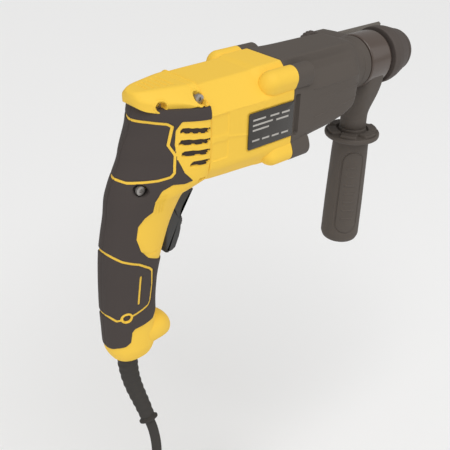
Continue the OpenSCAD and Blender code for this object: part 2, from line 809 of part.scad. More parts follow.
motor_housing();
handle_shell_right();
handle_shell_left();
grip_rubber_right();
grip_rubber_left();
gear_housing();
rating_plate();
front_screws();
handle_screws();
bearing_flange();
stator_core();
field_coils();
armature();
armature_winding();
commutator();
cooling_fan();
front_motor_bearing();
rear_motor_bearing();
brush_holders();
carbon_brushes();
intermediate_shaft();
intermediate_gear();
intermediate_bearings();
wobble_ring();
spindle();
spindle_gear();
spindle_bearing();
spindle_seal();
spindle_needle_bearing();
piston();
striker();
striker_ring();
impact_bolt();
locking_balls();
chuck_sleeve();
dust_cap();
clamp_band();
clamp_saddle();
rod_lug();
rod_lock_screw();
tie_bolt();
side_grip();
depth_rod();
trigger();
speed_dial();
reversing_lever();
lock_on_button();
switch_body();
mode_knob();
mode_release_button();
cord_sleeve();
cord_clamp();
cord_lead();
cord_coil();
coil_tie();
cord_tail();
plug();
plug_pins();
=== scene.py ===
"""Corded rotary hammer: finished surfaces, materials, floor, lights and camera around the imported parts."""

import math
import bpy
import numpy as np
from bpy.props import FloatProperty, FloatVectorProperty, IntProperty, PointerProperty
from mathutils import Matrix, Vector


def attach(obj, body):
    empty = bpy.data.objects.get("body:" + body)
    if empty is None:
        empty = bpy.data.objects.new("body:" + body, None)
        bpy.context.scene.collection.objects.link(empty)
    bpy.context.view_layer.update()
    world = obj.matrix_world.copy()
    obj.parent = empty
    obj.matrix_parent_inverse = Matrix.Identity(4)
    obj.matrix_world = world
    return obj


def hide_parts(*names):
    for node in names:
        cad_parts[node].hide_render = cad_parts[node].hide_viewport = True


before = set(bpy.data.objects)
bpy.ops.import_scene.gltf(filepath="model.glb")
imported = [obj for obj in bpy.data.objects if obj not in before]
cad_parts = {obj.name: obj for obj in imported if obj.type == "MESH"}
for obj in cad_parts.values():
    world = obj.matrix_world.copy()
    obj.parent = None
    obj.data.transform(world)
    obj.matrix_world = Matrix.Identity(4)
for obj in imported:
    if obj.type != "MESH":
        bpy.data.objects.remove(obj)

bl_info = {
    "name": "Rotary hammer",
    "version": (1, 0, 0),
    "blender": (4, 5, 0),
    "location": "3D View > Sidebar > Rotary hammer",
    "description": "Finished surfaces of a corded rotary hammer",
    "category": "Object",
}

# Shapes are worked out in the tool's own millimetres: X forward along the spindle, Z up, spindle at z = 0.
GRIP_MM = np.array([10.0, 0.0, -120.0])
FLOOR_MM = -457.0
SIDE_X = 287.0  # axis of the side handle
KNOB = (258.0, 6.0)  # axis of the mode knob, in X and Z


def place(points):
    """Tool millimetres turned into the frame's metres, whose origin is the middle of the grip."""
    return (np.asarray(points, float) - GRIP_MM) / 1000.0


# ---------------------------------------------------------------- meshes


def quads_round(rows, cols):
    """Quads between neighbouring rows of a grid whose columns close on themselves."""
    a = np.arange(rows - 1)[:, None] * cols + np.arange(cols)
    b = np.arange(rows - 1)[:, None] * cols + (np.arange(cols) + 1) % cols
    return np.stack([a, b, b + cols, a + cols], -1).reshape(-1, 4)


def closed(grid):
    """A grid of rings made a closed skin: each end ring gets a fan to its own middle, and if the volume by
    the divergence theorem is negative all faces are turned over."""
    rows, cols, _ = grid.shape
    quads = quads_round(rows, cols)
    ends = grid[[0, -1]].mean(axis=1)
    points = np.concatenate([grid.reshape(-1, 3), ends])
    ring = np.arange(cols)
    after = (ring + 1) % cols
    first = np.stack([after, ring, np.full(cols, rows * cols)], -1)
    base = (rows - 1) * cols
    last = np.stack([base + ring, base + after, np.full(cols, rows * cols + 1)], -1)
    tris = np.concatenate([first, last])
    flat = np.concatenate([quads[:, :3], quads[:, [0, 2, 3]], tris])
    p = points[flat]
    if np.einsum("ij,ij->i", p[:, 0], np.cross(p[:, 1], p[:, 2])).sum() < 0:
        quads, tris = quads[:, ::-1], tris[:, ::-1]
    return points, quads.tolist() + tris.tolist()


def ring_round(grid):
    """A grid closed on itself both ways, like a tyre, with its faces turned outwards."""
    rows, cols, _ = grid.shape
    index = np.arange(rows * cols).reshape(rows, cols)
    down, right = np.roll(index, -1, 0), np.roll(index, -1, 1)
    quads = np.stack([index, right, np.roll(right, -1, 0), down], -1).reshape(-1, 4)
    points = grid.reshape(-1, 3)
    flat = np.concatenate([quads[:, :3], quads[:, [0, 2, 3]]])
    p = points[flat]
    if np.einsum("ij,ij->i", p[:, 0], np.cross(p[:, 1], p[:, 2])).sum() < 0:
        quads = quads[:, ::-1]
    return points, quads.tolist()


def piece(name, skins, slot, body, nodes=(), sharp=35.0, finish=None):
    """One object from closed skins in tool millimetres. It gets the slot's material or another finish,
    rides on the body and stands for the given nodes."""
    points, faces, start = [], [], 0
    for skin_points, skin_faces in skins:
        points.append(skin_points)
        faces += [[i + start for i in face] for face in skin_faces] if start else skin_faces
        start += len(skin_points)
    mesh = bpy.data.meshes.new(name)
    mesh.from_pydata(place(np.concatenate(points)).tolist(), [], faces)
    mesh.update()
    mesh.shade_smooth()
    mesh.set_sharp_from_angle(angle=math.radians(sharp))
    obj = bpy.data.objects.new(name, mesh)
    bpy.context.scene.collection.objects.link(obj)
    mesh.materials.append(finish_of(finish or slot))
    if nodes:
        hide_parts(*nodes)
    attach(obj, body)
    return obj


# ---------------------------------------------------------------- curves and sections


def step(t):
    """Smooth step: 0 below 0, 1 above 1 and 3t^2 - 2t^3 between."""
    t = np.clip(t, 0.0, 1.0)
    return t * t * (3.0 - 2.0 * t)


def through(stations, at):
    """Rows interpolated between stations by cubic Hermite pieces whose slopes are the harmonic mean of the
    slopes on both sides, so that no row overshoots. The first number of a station is its place."""
    table = np.asarray(stations, float)
    xs, rows = table[:, 0], table[:, 1:]
    slope = np.diff(rows, axis=0) / np.diff(xs)[:, None]
    tangent = np.zeros_like(rows)
    before, after = slope[:-1], slope[1:]
    same = before * after > 0
    tangent[1:-1] = np.where(same, 2 * before * after / np.where(same, before + after, 1.0), 0.0)
    tangent[0], tangent[-1] = slope[0], slope[-1]
    i = np.clip(np.searchsorted(xs, at) - 1, 0, len(xs) - 2)
    gap = (xs[i + 1] - xs[i])[:, None]
    t = np.clip((at - xs[i])[:, None] / gap, 0.0, 1.0)
    return (
        (1 + 2 * t) * (1 - t) ** 2 * rows[i]
        + t * (1 - t) ** 2 * gap * tangent[i]
        + t * t * (3 - 2 * t) * rows[i + 1]
        + t * t * (t - 1) * gap * tangent[i + 1]
    )


def rounded(corners, radius):
    """Control points of a closed outline: every corner becomes three points, itself and one towards each
    neighbour at its radius, or at 0.48 of the edge where the edge is short."""
    radius = np.asarray(radius, float)[..., None]
    out = []
    for shift in (1, -1):
        side = np.roll(corners, shift, -2) - corners
        length = np.linalg.norm(side, axis=-1, keepdims=True) + 1e-9
        out.append(corners + side / length * np.minimum(radius, 0.48 * length))
    points = np.stack([out[0], corners, out[1]], -2)
    return points.reshape(*corners.shape[:-2], -1, corners.shape[-1])


def curve(points, counts):
    """Closed quadratic B-spline: piece i runs from the middle of points i-1 and i to the middle of i and
    i+1, with weights (1-t)^2/2, 1/2 + t(1-t) and t^2/2, sampled counts[i] times."""
    k = points.shape[-2]
    counts = np.broadcast_to(counts, (k,))
    i = np.repeat(np.arange(k), counts)
    t = np.concatenate([np.arange(c) / c for c in counts])[:, None]
    take = lambda shift: points[..., (i + shift) % k, :]
    return 0.5 * (1 - t) ** 2 * take(-1) + (0.5 + t * (1 - t)) * take(0) + 0.5 * t**2 * take(1)


def normals(grid):
    """Unit normals of a grid of rings: the cross product of its two directions, turned away from the ring's
    middle."""
    along = np.gradient(grid, axis=0)
    around = np.roll(grid, -1, 1) - np.roll(grid, 1, 1)
    n = np.cross(along, around)
    n /= np.linalg.norm(n, axis=-1, keepdims=True) + 1e-12
    outward = np.einsum("ijk,ijk->i", n, grid - grid.mean(axis=1, keepdims=True))
    return n * np.where(outward < 0, -1.0, 1.0)[:, None, None]


def raised(grid, height):
    """The grid moved along its normals by a height for every point."""
    return grid + normals(grid) * height[..., None]


def to_box(u, v, centre, half, radius=0.0):
    """Signed distance to a rounded rectangle: negative inside."""
    du = np.abs(u - centre[0]) - half[0] + radius
    dv = np.abs(v - centre[1]) - half[1] + radius
    return np.hypot(np.maximum(du, 0), np.maximum(dv, 0)) + np.minimum(np.maximum(du, dv), 0) - radius


def to_line(u, v, line):
    """Distance to the nearest of a line's straight parts."""
    best = np.full(np.shape(u), 1e9)
    for (ax, az), (bx, bz) in zip(line[:-1], line[1:]):
        px, pz, dx, dz = u - ax, v - az, bx - ax, bz - az
        t = np.clip((px * dx + pz * dz) / (dx * dx + dz * dz), 0, 1)
        best = np.minimum(best, np.hypot(px - t * dx, pz - t * dz))
    return best


def to_area(u, v, outline):
    """Signed distance to a closed outline: the distance to its edges, negative where a ray crosses them an
    odd number of times."""
    closed_line = list(outline) + [outline[0]]
    odd = np.zeros(np.shape(u), bool)
    for (ax, az), (bx, bz) in zip(closed_line[:-1], closed_line[1:]):
        if az != bz:
            odd ^= ((az > v) != (bz > v)) & (u < ax + (v - az) * (bx - ax) / (bz - az))
    return to_line(u, v, closed_line) * np.where(odd, -1.0, 1.0)


def within(distance, width):
    """1 inside a signed distance, 0 outside, with a smooth slope of this width around 0."""
    return step(0.5 - distance / width)


def squarish(t, square):
    """The two coordinates of a superellipse: |cos t|^(2/n) and |sin t|^(2/n) with the signs of cos t and
    sin t."""
    c, s = np.cos(t), np.sin(t)
    return np.sign(c) * np.abs(c) ** (2 / square), np.sign(s) * np.abs(s) ** (2 / square)


def resampled(profile, count):
    """A profile of (place, radius) points at equal distances along its running length."""
    run = np.concatenate([[0], np.cumsum(np.hypot(*np.diff(profile, axis=0).T))])
    at = np.linspace(0, run[-1], count)
    return np.stack([np.interp(at, run, profile[:, 0]), np.interp(at, run, profile[:, 1])], -1)


def turned(profile, axis, centre, count=144):
    """A profile of (place along the axis, radius) points turned about an axis through centre."""
    profile = np.asarray(profile, float)
    angle = np.linspace(0, 2 * np.pi, count, endpoint=False)
    along = np.repeat(profile[:, :1], count, 1)
    c, s = profile[:, 1:] * np.cos(angle), profile[:, 1:] * np.sin(angle)
    order = {"x": (along, c, s), "y": (c, along, s), "z": (c, s, along)}[axis]
    return np.stack(order, -1) + np.asarray(centre, float)


def softened(profile, radius, count=5):
    """An open profile with its corners rounded: the open quadratic B-spline through points set back from
    each corner, sampled count times a piece."""
    p = np.asarray(profile, float)
    inner = p[1:-1]
    sides = []
    for other in (p[:-2], p[2:]):
        d = other - inner
        length = np.linalg.norm(d, axis=1, keepdims=True) + 1e-9
        sides.append(inner + d / length * np.minimum(radius, 0.48 * length))
    t = np.linspace(0, 1, count)[None, :, None]
    bends = (1 - t) ** 2 * sides[0][:, None] + 2 * t * (1 - t) * inner[:, None] + t**2 * sides[1][:, None]
    return np.concatenate([p[:1], bends.reshape(-1, 2), p[-1:]])


def pillow(outline, low, high, rim, to_space, rows=5):
    """A flat outline carried from low to high with both rims rounded: near an end the outline is drawn in
    along its own normals by the quarter circle's rule rim * (1 - cos)."""
    along = np.roll(outline, -1, 0) - np.roll(outline, 1, 0)
    n = np.stack([along[:, 1], -along[:, 0]], -1)
    n /= np.linalg.norm(n, axis=1, keepdims=True) + 1e-12
    area = np.sum(outline[:, 0] * np.roll(outline[:, 1], -1) - np.roll(outline[:, 0], -1) * outline[:, 1])
    n = n * (1.0 if area > 0 else -1.0)
    a = np.linspace(0, np.pi / 2, rows)
    inset = rim * np.concatenate([1 - np.sin(a), 1 - np.sin(a[::-1])])
    height = np.concatenate([low + rim * (1 - np.cos(a)), high - rim * (1 - np.cos(a[::-1]))])
    flat = outline[None] - n[None] * inset[:, None, None]
    return to_space(flat, np.repeat(height[:, None], len(outline), 1))


def upright(flat, y):
    """A side outline in X and Z set at Y."""
    return np.stack([flat[..., 0], y, flat[..., 1]], -1)


def tube(path, radius, count=20):
    """A round tube along a path: each ring stands across the path, on two directions carried along it by
    projection so that it doesn't twist."""
    path = np.asarray(path, float)
    radius = np.broadcast_to(radius, len(path))
    ahead = np.gradient(path, axis=0)
    ahead /= np.linalg.norm(ahead, axis=1, keepdims=True)
    side = np.empty_like(path)
    last = np.cross(ahead[0], [0.3, 1.0, 0.2])
    for i, d in enumerate(ahead):
        last = last - d * (last @ d)
        last = last / np.linalg.norm(last)
        side[i] = last
    up = np.cross(ahead, side)
    a = np.linspace(0, 2 * np.pi, count, endpoint=False)[None, :, None]
    return path[:, None] + radius[:, None, None] * (np.cos(a) * side[:, None] + np.sin(a) * up[:, None])


def evenly(path, gap):
    """Points on a path at equal distances, by its running length."""
    path = np.asarray(path, float)
    run = np.concatenate([[0], np.cumsum(np.linalg.norm(np.diff(path, axis=0), axis=1))])
    at = np.linspace(0, run[-1], int(round(run[-1] / gap)) + 1)
    return np.stack([np.interp(at, run, path[:, k]) for k in range(3)], -1)


def flowing(points, gap=1.5):
    """A smooth path through points: Catmull-Rom pieces, then equal steps."""
    p = np.asarray(points, float)
    p = np.concatenate([[2 * p[0] - p[1]], p, [2 * p[-1] - p[-2]]])
    t = np.linspace(0, 1, 16, endpoint=False)[None, :, None]
    a, b, c, d = (p[i : len(p) - 3 + i, None] for i in range(4))
    q = 0.5 * (2 * b + (c - a) * t + (2 * a - 5 * b + 4 * c - d) * t**2 + (3 * b - a - 3 * c + d) * t**3)
    return evenly(np.concatenate([q.reshape(-1, 3), p[-2:-1]]), gap)


# ---------------------------------------------------------------- finishes

# Slot: colour, roughness, metallic, grain size (per metre), grain height, colour spread, coat
FINISHES = {
    "yellow_plastic": ((0.80, 0.235, 0.002), 0.42, 0, 1500, 0.10, 0.04, 0.05),
    "rubber_black": ((0.0075, 0.0052, 0.0042), 0.58, 0, 1900, 0.22, 0.18, 0.0),
    "housing_dark": ((0.019, 0.0125, 0.0095), 0.46, 0, 1400, 0.16, 0.12, 0.05),
    "clamp_dark": ((0.022, 0.014, 0.011), 0.28, 0, 1100, 0.05, 0.12, 0.25),
    "chuck_black": ((0.017, 0.012, 0.0095), 0.42, 0, 1400, 0.10, 0.12, 0.05),
    "rod_steel": ((0.10, 0.080, 0.062), 0.42, 0.6, 800, 0.08, 0.20, 0.0),
    "plate_black": ((0.006, 0.005, 0.0045), 0.34, 0, 900, 0.02, 0.10, 0.30),
    "screw_steel": ((0.42, 0.40, 0.37), 0.34, 1, 900, 0.06, 0.12, 0.0),
    "steel": ((0.58, 0.58, 0.59), 0.28, 1, 700, 0.05, 0.08, 0.0),
    "alloy": ((0.62, 0.62, 0.63), 0.45, 1, 1200, 0.20, 0.08, 0.0),
    "lamination": ((0.30, 0.30, 0.32), 0.42, 1, 1600, 0.16, 0.12, 0.0),
    "copper": ((0.62, 0.26, 0.11), 0.34, 1, 900, 0.08, 0.12, 0.10),
    "brass": ((0.70, 0.50, 0.20), 0.36, 1, 900, 0.06, 0.10, 0.0),
    "graphite": ((0.030, 0.030, 0.032), 0.55, 0.2, 1500, 0.20, 0.15, 0.0),
    "switch_plastic": ((0.010, 0.0085, 0.008), 0.42, 0, 1400, 0.10, 0.12, 0.0),
    "seal_rubber": ((0.012, 0.012, 0.012), 0.55, 0, 1400, 0.14, 0.15, 0.0),
    "cord_rubber": ((0.009, 0.0065, 0.0055), 0.52, 0, 1400, 0.18, 0.16, 0.0),
    "tie_plastic": ((0.66, 0.63, 0.57), 0.45, 0, 1200, 0.08, 0.08, 0.0),
    "plate_print": ((0.45, 0.43, 0.40), 0.50, 0, 1500, 0.05, 0.10, 0.0),
}


def finish_of(slot):
    """A slot's material. Three noises on Object coordinates make it: a coarse one shifts the colour, a
    middle one the roughness, and a fine one gives the moulded or ground grain through Bump. Convex edges,
    read from the mesh's pointiness, are worn a little lighter."""
    if slot in bpy.data.materials:
        return bpy.data.materials[slot]
    colour, rough, metal, grain, height, spread, coat = FINISHES[slot]
    look = bpy.context.scene.hammer_look
    if slot == "yellow_plastic":
        colour = tuple(look.body_colour)
    if slot == "rubber_black":
        colour = tuple(look.rubber_colour)
    mat = bpy.data.materials.new(slot)
    mat.use_nodes = True
    tree = mat.node_tree
    shader = tree.nodes["Principled BSDF"]
    shader.inputs["Metallic"].default_value = metal
    shader.inputs["Specular IOR Level"].default_value = 0.5 if metal else 0.16
    shader.inputs["Coat Weight"].default_value = coat
    shader.inputs["Coat Roughness"].default_value = 0.25

    def add(kind, **values):
        made = tree.nodes.new(kind)
        for key, value in values.items():
            if key in made.inputs:
                made.inputs[key].default_value = value
            else:
                setattr(made, key, value)
        return made

    def join(a, b):
        tree.links.new(a, b)

    where = add("ShaderNodeTexCoord").outputs["Object"]
    clouds = add("ShaderNodeTexNoise", Scale=26.0, Detail=5.0)
    smears = add("ShaderNodeTexNoise", Scale=95.0, Detail=6.0, Roughness=0.6)
    pits = add("ShaderNodeTexNoise", Scale=float(grain), Detail=3.0)
    for noise in (clouds, smears, pits):
        join(where, noise.inputs["Vector"])

    tone = add("ShaderNodeValToRGB")
    tone.color_ramp.elements[0].position = 0.3
    tone.color_ramp.elements[1].position = 0.7
    tone.color_ramp.elements[0].color = (*[c * (1 - spread) for c in colour], 1)
    tone.color_ramp.elements[1].color = (*[min(c * (1 + spread), 1) for c in colour], 1)
    join(clouds.outputs["Fac"], tone.inputs["Fac"])

    edge = add("ShaderNodeNewGeometry")
    worn = add("ShaderNodeMapRange", clamp=True)
    for name, value in (("From Min", 0.52), ("From Max", 0.62), ("To Min", 0.0), ("To Max", look.wear)):
        worn.inputs[name].default_value = value
    join(edge.outputs["Pointiness"], worn.inputs["Value"])
    rubbed = add("ShaderNodeMix", data_type="RGBA")
    join(worn.outputs["Result"], rubbed.inputs["Factor"])
    join(tone.outputs["Color"], rubbed.inputs["A"])
    rubbed.inputs["B"].default_value = (*[min(1.0, c * 1.4 + 0.012) for c in colour], 1)
    join(rubbed.outputs["Result"], shader.inputs["Base Color"])

    gloss = add("ShaderNodeMapRange", clamp=True)
    for name, value in (("From Min", 0.3), ("From Max", 0.7), ("To Min", rough - 0.07),
        ("To Max", rough + 0.09)):
        gloss.inputs[name].default_value = value
    join(smears.outputs["Fac"], gloss.inputs["Value"])
    join(gloss.outputs["Result"], shader.inputs["Roughness"])

    bump = add("ShaderNodeBump", Strength=height, Distance=0.0004)
    join(pits.outputs["Fac"], bump.inputs["Height"])
    join(bump.outputs["Normal"], shader.inputs["Normal"])
    return mat


# ---------------------------------------------------------------- housings

# Half outline of the housings: six corners from the top's edge down to the bottom's edge, in Y and Z
MOTOR_STATIONS = [
    (66.2, 19, 26.6, 25.5, 20.4, 32, 14.0, 37.2, 8.5, 37.4, -36, 26, -50),
    (76, 19, 27.0, 25.5, 20.7, 32, 14.1, 37.7, 8.2, 37.8, -37, 26.5, -51),
    (120, 19, 27.4, 25.5, 20.9, 32, 14.2, 38.0, 7.8, 38.0, -38, 27, -53),
    (129, 20, 28.9, 26.0, 22.4, 32, 15.2, 38.0, 8.4, 38.0, -39, 27, -54),
    (154.8, 20, 29.2, 26.0, 22.8, 32, 15.6, 38.0, 8.8, 38.0, -39, 27, -54.5),
]
GEAR_STATIONS = [
    (155.2, 20, 29.2, 26.0, 22.8, 32, 15.6, 37.8, 8.8, 37.8, -39, 27, -54),
    (163, 19.5, 29.0, 23.5, 22.4, 31, 16.4, 37.4, 7.4, 37.4, -38, 26.5, -52),
    (172, 19, 28.8, 21.8, 21.4, 30, 16.8, 36.8, 6.2, 36.8, -36, 26, -49),
    (182, 18.6, 28.6, 21.2, 20.6, 29.5, 16.6, 36.4, 5.6, 36.2, -34, 25, -45.5),
    (222, 18.0, 28.4, 20.6, 20.2, 28.6, 16.2, 35.6, 4.6, 35.4, -30, 23, -41.5),
    (238, 17.5, 28.2, 20.2, 20.6, 27.6, 16.0, 34.0, 4.0, 33.6, -26, 21, -38),
    (247, 16.5, 27.8, 19.6, 21.4, 25.6, 15.4, 30.6, 3.6, 30.0, -20, 19, -34),
    (254, 15.0, 26.4, 18.6, 20.8, 23.0, 14.6, 27.0, 3.2, 26.4, -15, 16, -29.5),
    (261, 13.0, 24.0, 17.0, 19.0, 21.0, 13.6, 24.8, 3.0, 24.2, -12, 13, -26.5),
]
CORNER_RADII = [3.0, 2.6, 3.5, 3.2, 7.0, 7.0]
TOWERS = [(32.0, 19.0), (-32.0, 19.0), (32.0, -46.0), (-32.0, -46.0)]


def housing_rows(stations, places):
    """Rings of a housing: at every place along X the six corners of one side, mirrored to the other side,
    rounded and drawn as a closed B-spline that has most of its points on the upright sides."""
    half = through(stations, places).reshape(len(places), 6, 2)
    other = half[:, ::-1] * [-1.0, 1.0]
    corners = np.concatenate([half, other], 1)
    radii = np.array(CORNER_RADII + CORNER_RADII[::-1])
    control = rounded(corners, radii)
    counts = np.full(36, 4)
    counts[[11, 12, 23, 24]] = 30
    counts[[0, 35, 17, 18]] = 12
    outline = curve(control, counts)
    x = np.broadcast_to(places[:, None, None], outline.shape[:2] + (1,))
    return np.concatenate([x, outline], -1)


def drawn_in(places, low, high, depth, width):
    """How far a skin is drawn in at its two rims: a quarter circle's fall over the given width."""
    rim = np.minimum(places - low, high - places)
    t = np.clip(rim / width, 0, 1)
    return -depth * (1 - np.sqrt(1 - (1 - t) ** 2))


def motor_housing():
    """Yellow housing: rings through its stations, raised by the side rib, sunk by the two steps behind the
    seam and drawn in at both rims, with four screw towers."""
    places = np.linspace(66.2, 154.8, 150)
    grid = housing_rows(MOTOR_STATIONS, places)
    x, y, z = grid[..., 0], grid[..., 1], grid[..., 2]
    side = step((np.abs(y) - 30) / 4)
    height = drawn_in(places, 66.2, 154.8, 0.8, 1.6)[:, None] + np.zeros_like(x)
    height = height - 0.7 * side * within(to_box(x, z, (75.5, -1.5), (8.0, 8.2), 1.2), 0.8)
    height = height - 0.7 * side * within(to_box(x, z, (75.5, -22.5), (8.0, 7.2), 1.2), 0.8)
    height = height + 0.55 * side * within(to_line(x, z, [(84, -12.6), (104, -16.2)]) - 0.7, 0.9)
    height = height - 0.6 * side * within(to_line(x, z, [(66, -51), (84, -44)]) - 0.5, 0.9)
    flank = np.abs(y) > 18
    height = height + 0.5 * flank * within(np.abs(z - 7.8) - 0.35, 0.9) * within(np.abs(x - 94) - 26, 3)
    height = height - 1.2 * side * within(to_box(x, z, (129.2, -15.1), (26.9, 16.2), 2.4), 0.6) * 0.5
    skins = [closed(raised(grid, height))]
    for y0, z0 in TOWERS:
        skins.append(closed(tower(y0, z0, 121.0 if z0 > 0 else 126.0, 154.8, 9.0 if z0 > 0 else 8.6, 1)))
    return skins


def tower(y0, z0, low, high, radius, blunt):
    """A screw tower along X: a round post that widens towards the housing's middle and closes at its free
    end by the half ellipse's rule."""
    places = low + (high - low) * np.linspace(0, 1, 60) ** (1.6 if blunt > 0 else 1 / 1.6)
    end = (places - low) / 12.0 if blunt > 0 else (high - places) / 5.0
    size = np.sqrt(np.clip(1 - (1 - np.clip(end, 0, 1)) ** 2, 0.0004, 1))
    angle = np.linspace(0, 2 * np.pi, 72, endpoint=False)
    inward = math.atan2(-15 - z0, -0.75 * y0) if z0 < 0 else math.atan2(-6 - z0, -0.55 * y0)
    flare = 1 + 0.42 * step((np.cos(angle - inward) + 0.25) / 1.25)
    r = radius * size[:, None] * flare
    shift = (1 - size) * 5.0
    y = y0 + shift[:, None] * math.cos(inward) + r * np.cos(angle)
    z = z0 + shift[:, None] * math.sin(inward) + r * np.sin(angle)
    x = np.repeat(places[:, None], 72, 1)
    return np.stack([x, y, z], -1)


def gear_housing():
    """Dark gear housing: rings through its stations turn round towards the collar by mixing each ring with
    the circle at the same angles. Three thin ribs run along each side, and an air recess stands behind the
    joint."""
    places = np.linspace(155.2, 272.4, 190)
    mix = step((places - 243) / 19)[:, None, None]
    grid = housing_rows(GEAR_STATIONS, np.minimum(places, 261.0))
    grid[..., 0] = places[:, None]
    angle = np.arctan2(grid[..., 2], grid[..., 1])
    ring = np.stack([grid[..., 0], 24.4 * np.cos(angle), 24.4 * np.sin(angle)], -1)
    grid = grid * (1 - mix) + ring * mix
    x, y, z = grid[..., 0], grid[..., 1], grid[..., 2]
    side = step((np.abs(y) - 27) / 5)
    height = drawn_in(places, 155.2, 272.4, 0.9, 1.8)[:, None] + np.zeros_like(x)
    height = height - 3.2 * side * within(to_box(x, z, (159.6, -13.5), (2.6, 17.5), 1.0), 0.8)
    for rear, front in (((180, 3.5), (246, 3.0)), ((182, -6.5), (250, -5.5)), ((184, -22), (249, -17))):
        height = height + 0.5 * side * within(to_line(x, z, [rear, front]) - 0.35, 0.8)
    height = height - 0.45 * within(np.abs(x - 262.5) - 0.4, 0.9)
    skins = [closed(raised(grid, height))]
    for y0, z0 in TOWERS:
        skins.append(closed(tower(y0, z0, 155.2, 178.0 if z0 > 0 else 180.0, 8.8, 0)))
    post = turned([(14, 0.1), (14, 11.4), (34.5, 11.4), (36.4, 10.4), (36.4, 0.1)], "y",
        (KNOB[0], 0, KNOB[1]), 72)
    return skins + [closed(post)]


# ---------------------------------------------------------------- handle

# Rings of the grip, lowest first: height, middle, half depth, half width, squareness
GRIP_STATIONS = [
    (-209.0, 12, 13, 11, 2.4), (-207.6, 11.4, 16.6, 13.6, 2.4), (-205, 11, 18.8, 15.2, 2.4),
    (-200, 10.8, 21.2, 16.7, 2.35), (-195, 10.5, 22.6, 17.4, 2.3), (-176, 10.4, 23.3, 17.4, 2.3),
    (-158, 10, 23.6, 17.1, 2.3), (-135, 11.2, 24.6, 16.9, 2.3), (-118, 13.5, 26.1, 17.4, 2.3),
    (-103, 16.5, 27.8, 18.1, 2.3), (-88, 20.5, 29.3, 19.1, 2.2), (-74, 25.5, 31.3, 20.6, 2.1),
    (-58, 33, 37.3, 25, 1.8), (-50, 48, 50.3, 30, 1.7), (-42, 60, 59.3, 34.6, 1.6),
    (-22, 66, 56.8, 37.3, 1.5), (-2, 66, 48.1, 37.3, 1.6), (10, 66, 45.8, 36.8, 1.6),
    (15, 66, 44.3, 35.5, 1.6),
]
GRIP_FRONT = [(-215, 70), (-124, 70), (-117, 59), (-108, 54), (-92, 54), (-78, 58), (-66, 64), (-58, 65.8),
    (20, 65.8)]
RUBBER_AREA = [
    (-40, 20), (68, 20), (68, 5.5), (44.5, 6.5), (40, 0), (38.8, -11), (40.2, -22), (45, -34),
    (52, -42), (45, -43.4), (36, -42.5), (28, -46.5), (23, -55), (22, -64), (16, -68), (10.5, -75),
    (8.8, -86), (12.5, -98), (20, -107), (32, -114), (46, -119), (60, -120), (60, -151), (40, -157),
    (24, -170.5), (5, -171.5), (2.4, -174), (1, -184), (-3, -187.4), (-9, -189), (-15, -193.5),
    (-40, -193.5),
]
UPPER_LINE = [(-40, 5), (17, 5), (25, 5.6), (35, 5), (38, 3), (36.6, -3), (34.6, -11), (38.8, -19),
    (37.6, -33), (35, -36), (26, -38), (7, -39.5), (-3, -36.5), (-40, -36)]
LOWER_LINE = [(-40, -96), (-14, -97), (-10, -98.5), (-3, -103.5), (11, -110), (21, -117.5), (24, -121),
    (24.4, -135), (21.6, -150), (19, -153.5), (12, -155.5), (-2, -158.4), (-9, -160), (-13, -156.5),
    (-40, -155.5)]
BAR_LINE = [(12.2, -122.5), (11, -134), (9.4, -147.5)]
# Middles of the lower screw's boss and the upper screw's hole, in X and Z
BOSS = (-1.5, -158.2)
LOCK = (14.0, -45.0)
VENTS = [((43.5, -0.4), (64.2, -2.8)), ((42.5, -9.6), (64.2, -11.4)), ((44.0, -18.8), (64.2, -20.0)),
    ((50.5, -27.8), (64.2, -28.4))]


def handle_rows(columns, gap):
    """Rings of the grip: superellipses |cos|^(2/n), |sin|^(2/n) through the stations, held behind the front
    edge."""
    places = np.linspace(-209.0, 15.0, int(224 / gap))
    middle, deep, wide, square = through(GRIP_STATIONS, places).T[:, :, None]
    t = np.linspace(0, 2 * np.pi, columns, endpoint=False)[None] + np.pi / columns
    across, aside = squarish(t, square)
    x = middle + deep * across
    y = wide * aside
    front = np.interp(places, *zip(*GRIP_FRONT))[:, None]
    x = np.minimum(x, front)
    return np.stack([x, y, np.repeat(places[:, None], columns, 1)], -1)


def vent_mask(x, y, z):
    """1 inside the air slots on both sides: slanted bars 3.8 high whose rear ends lean forwards."""
    mask = np.zeros_like(x)
    for (x0, z0), (x1, z1) in VENTS:
        mid = z0 + (x - x0) * (z1 - z0) / (x1 - x0)
        v = z - mid
        u = x - 0.5 * v
        mask = np.maximum(mask, within(to_box(u, v, ((x0 + x1) / 2, 0.0), ((x1 - x0) / 2, 1.9), 0.7), 0.6))
    mask = np.maximum(mask, within(to_box(x, z, (60.5, -43.2), (2.8, 0.7), 0.4), 0.6))
    return mask * (np.abs(y) > 14)


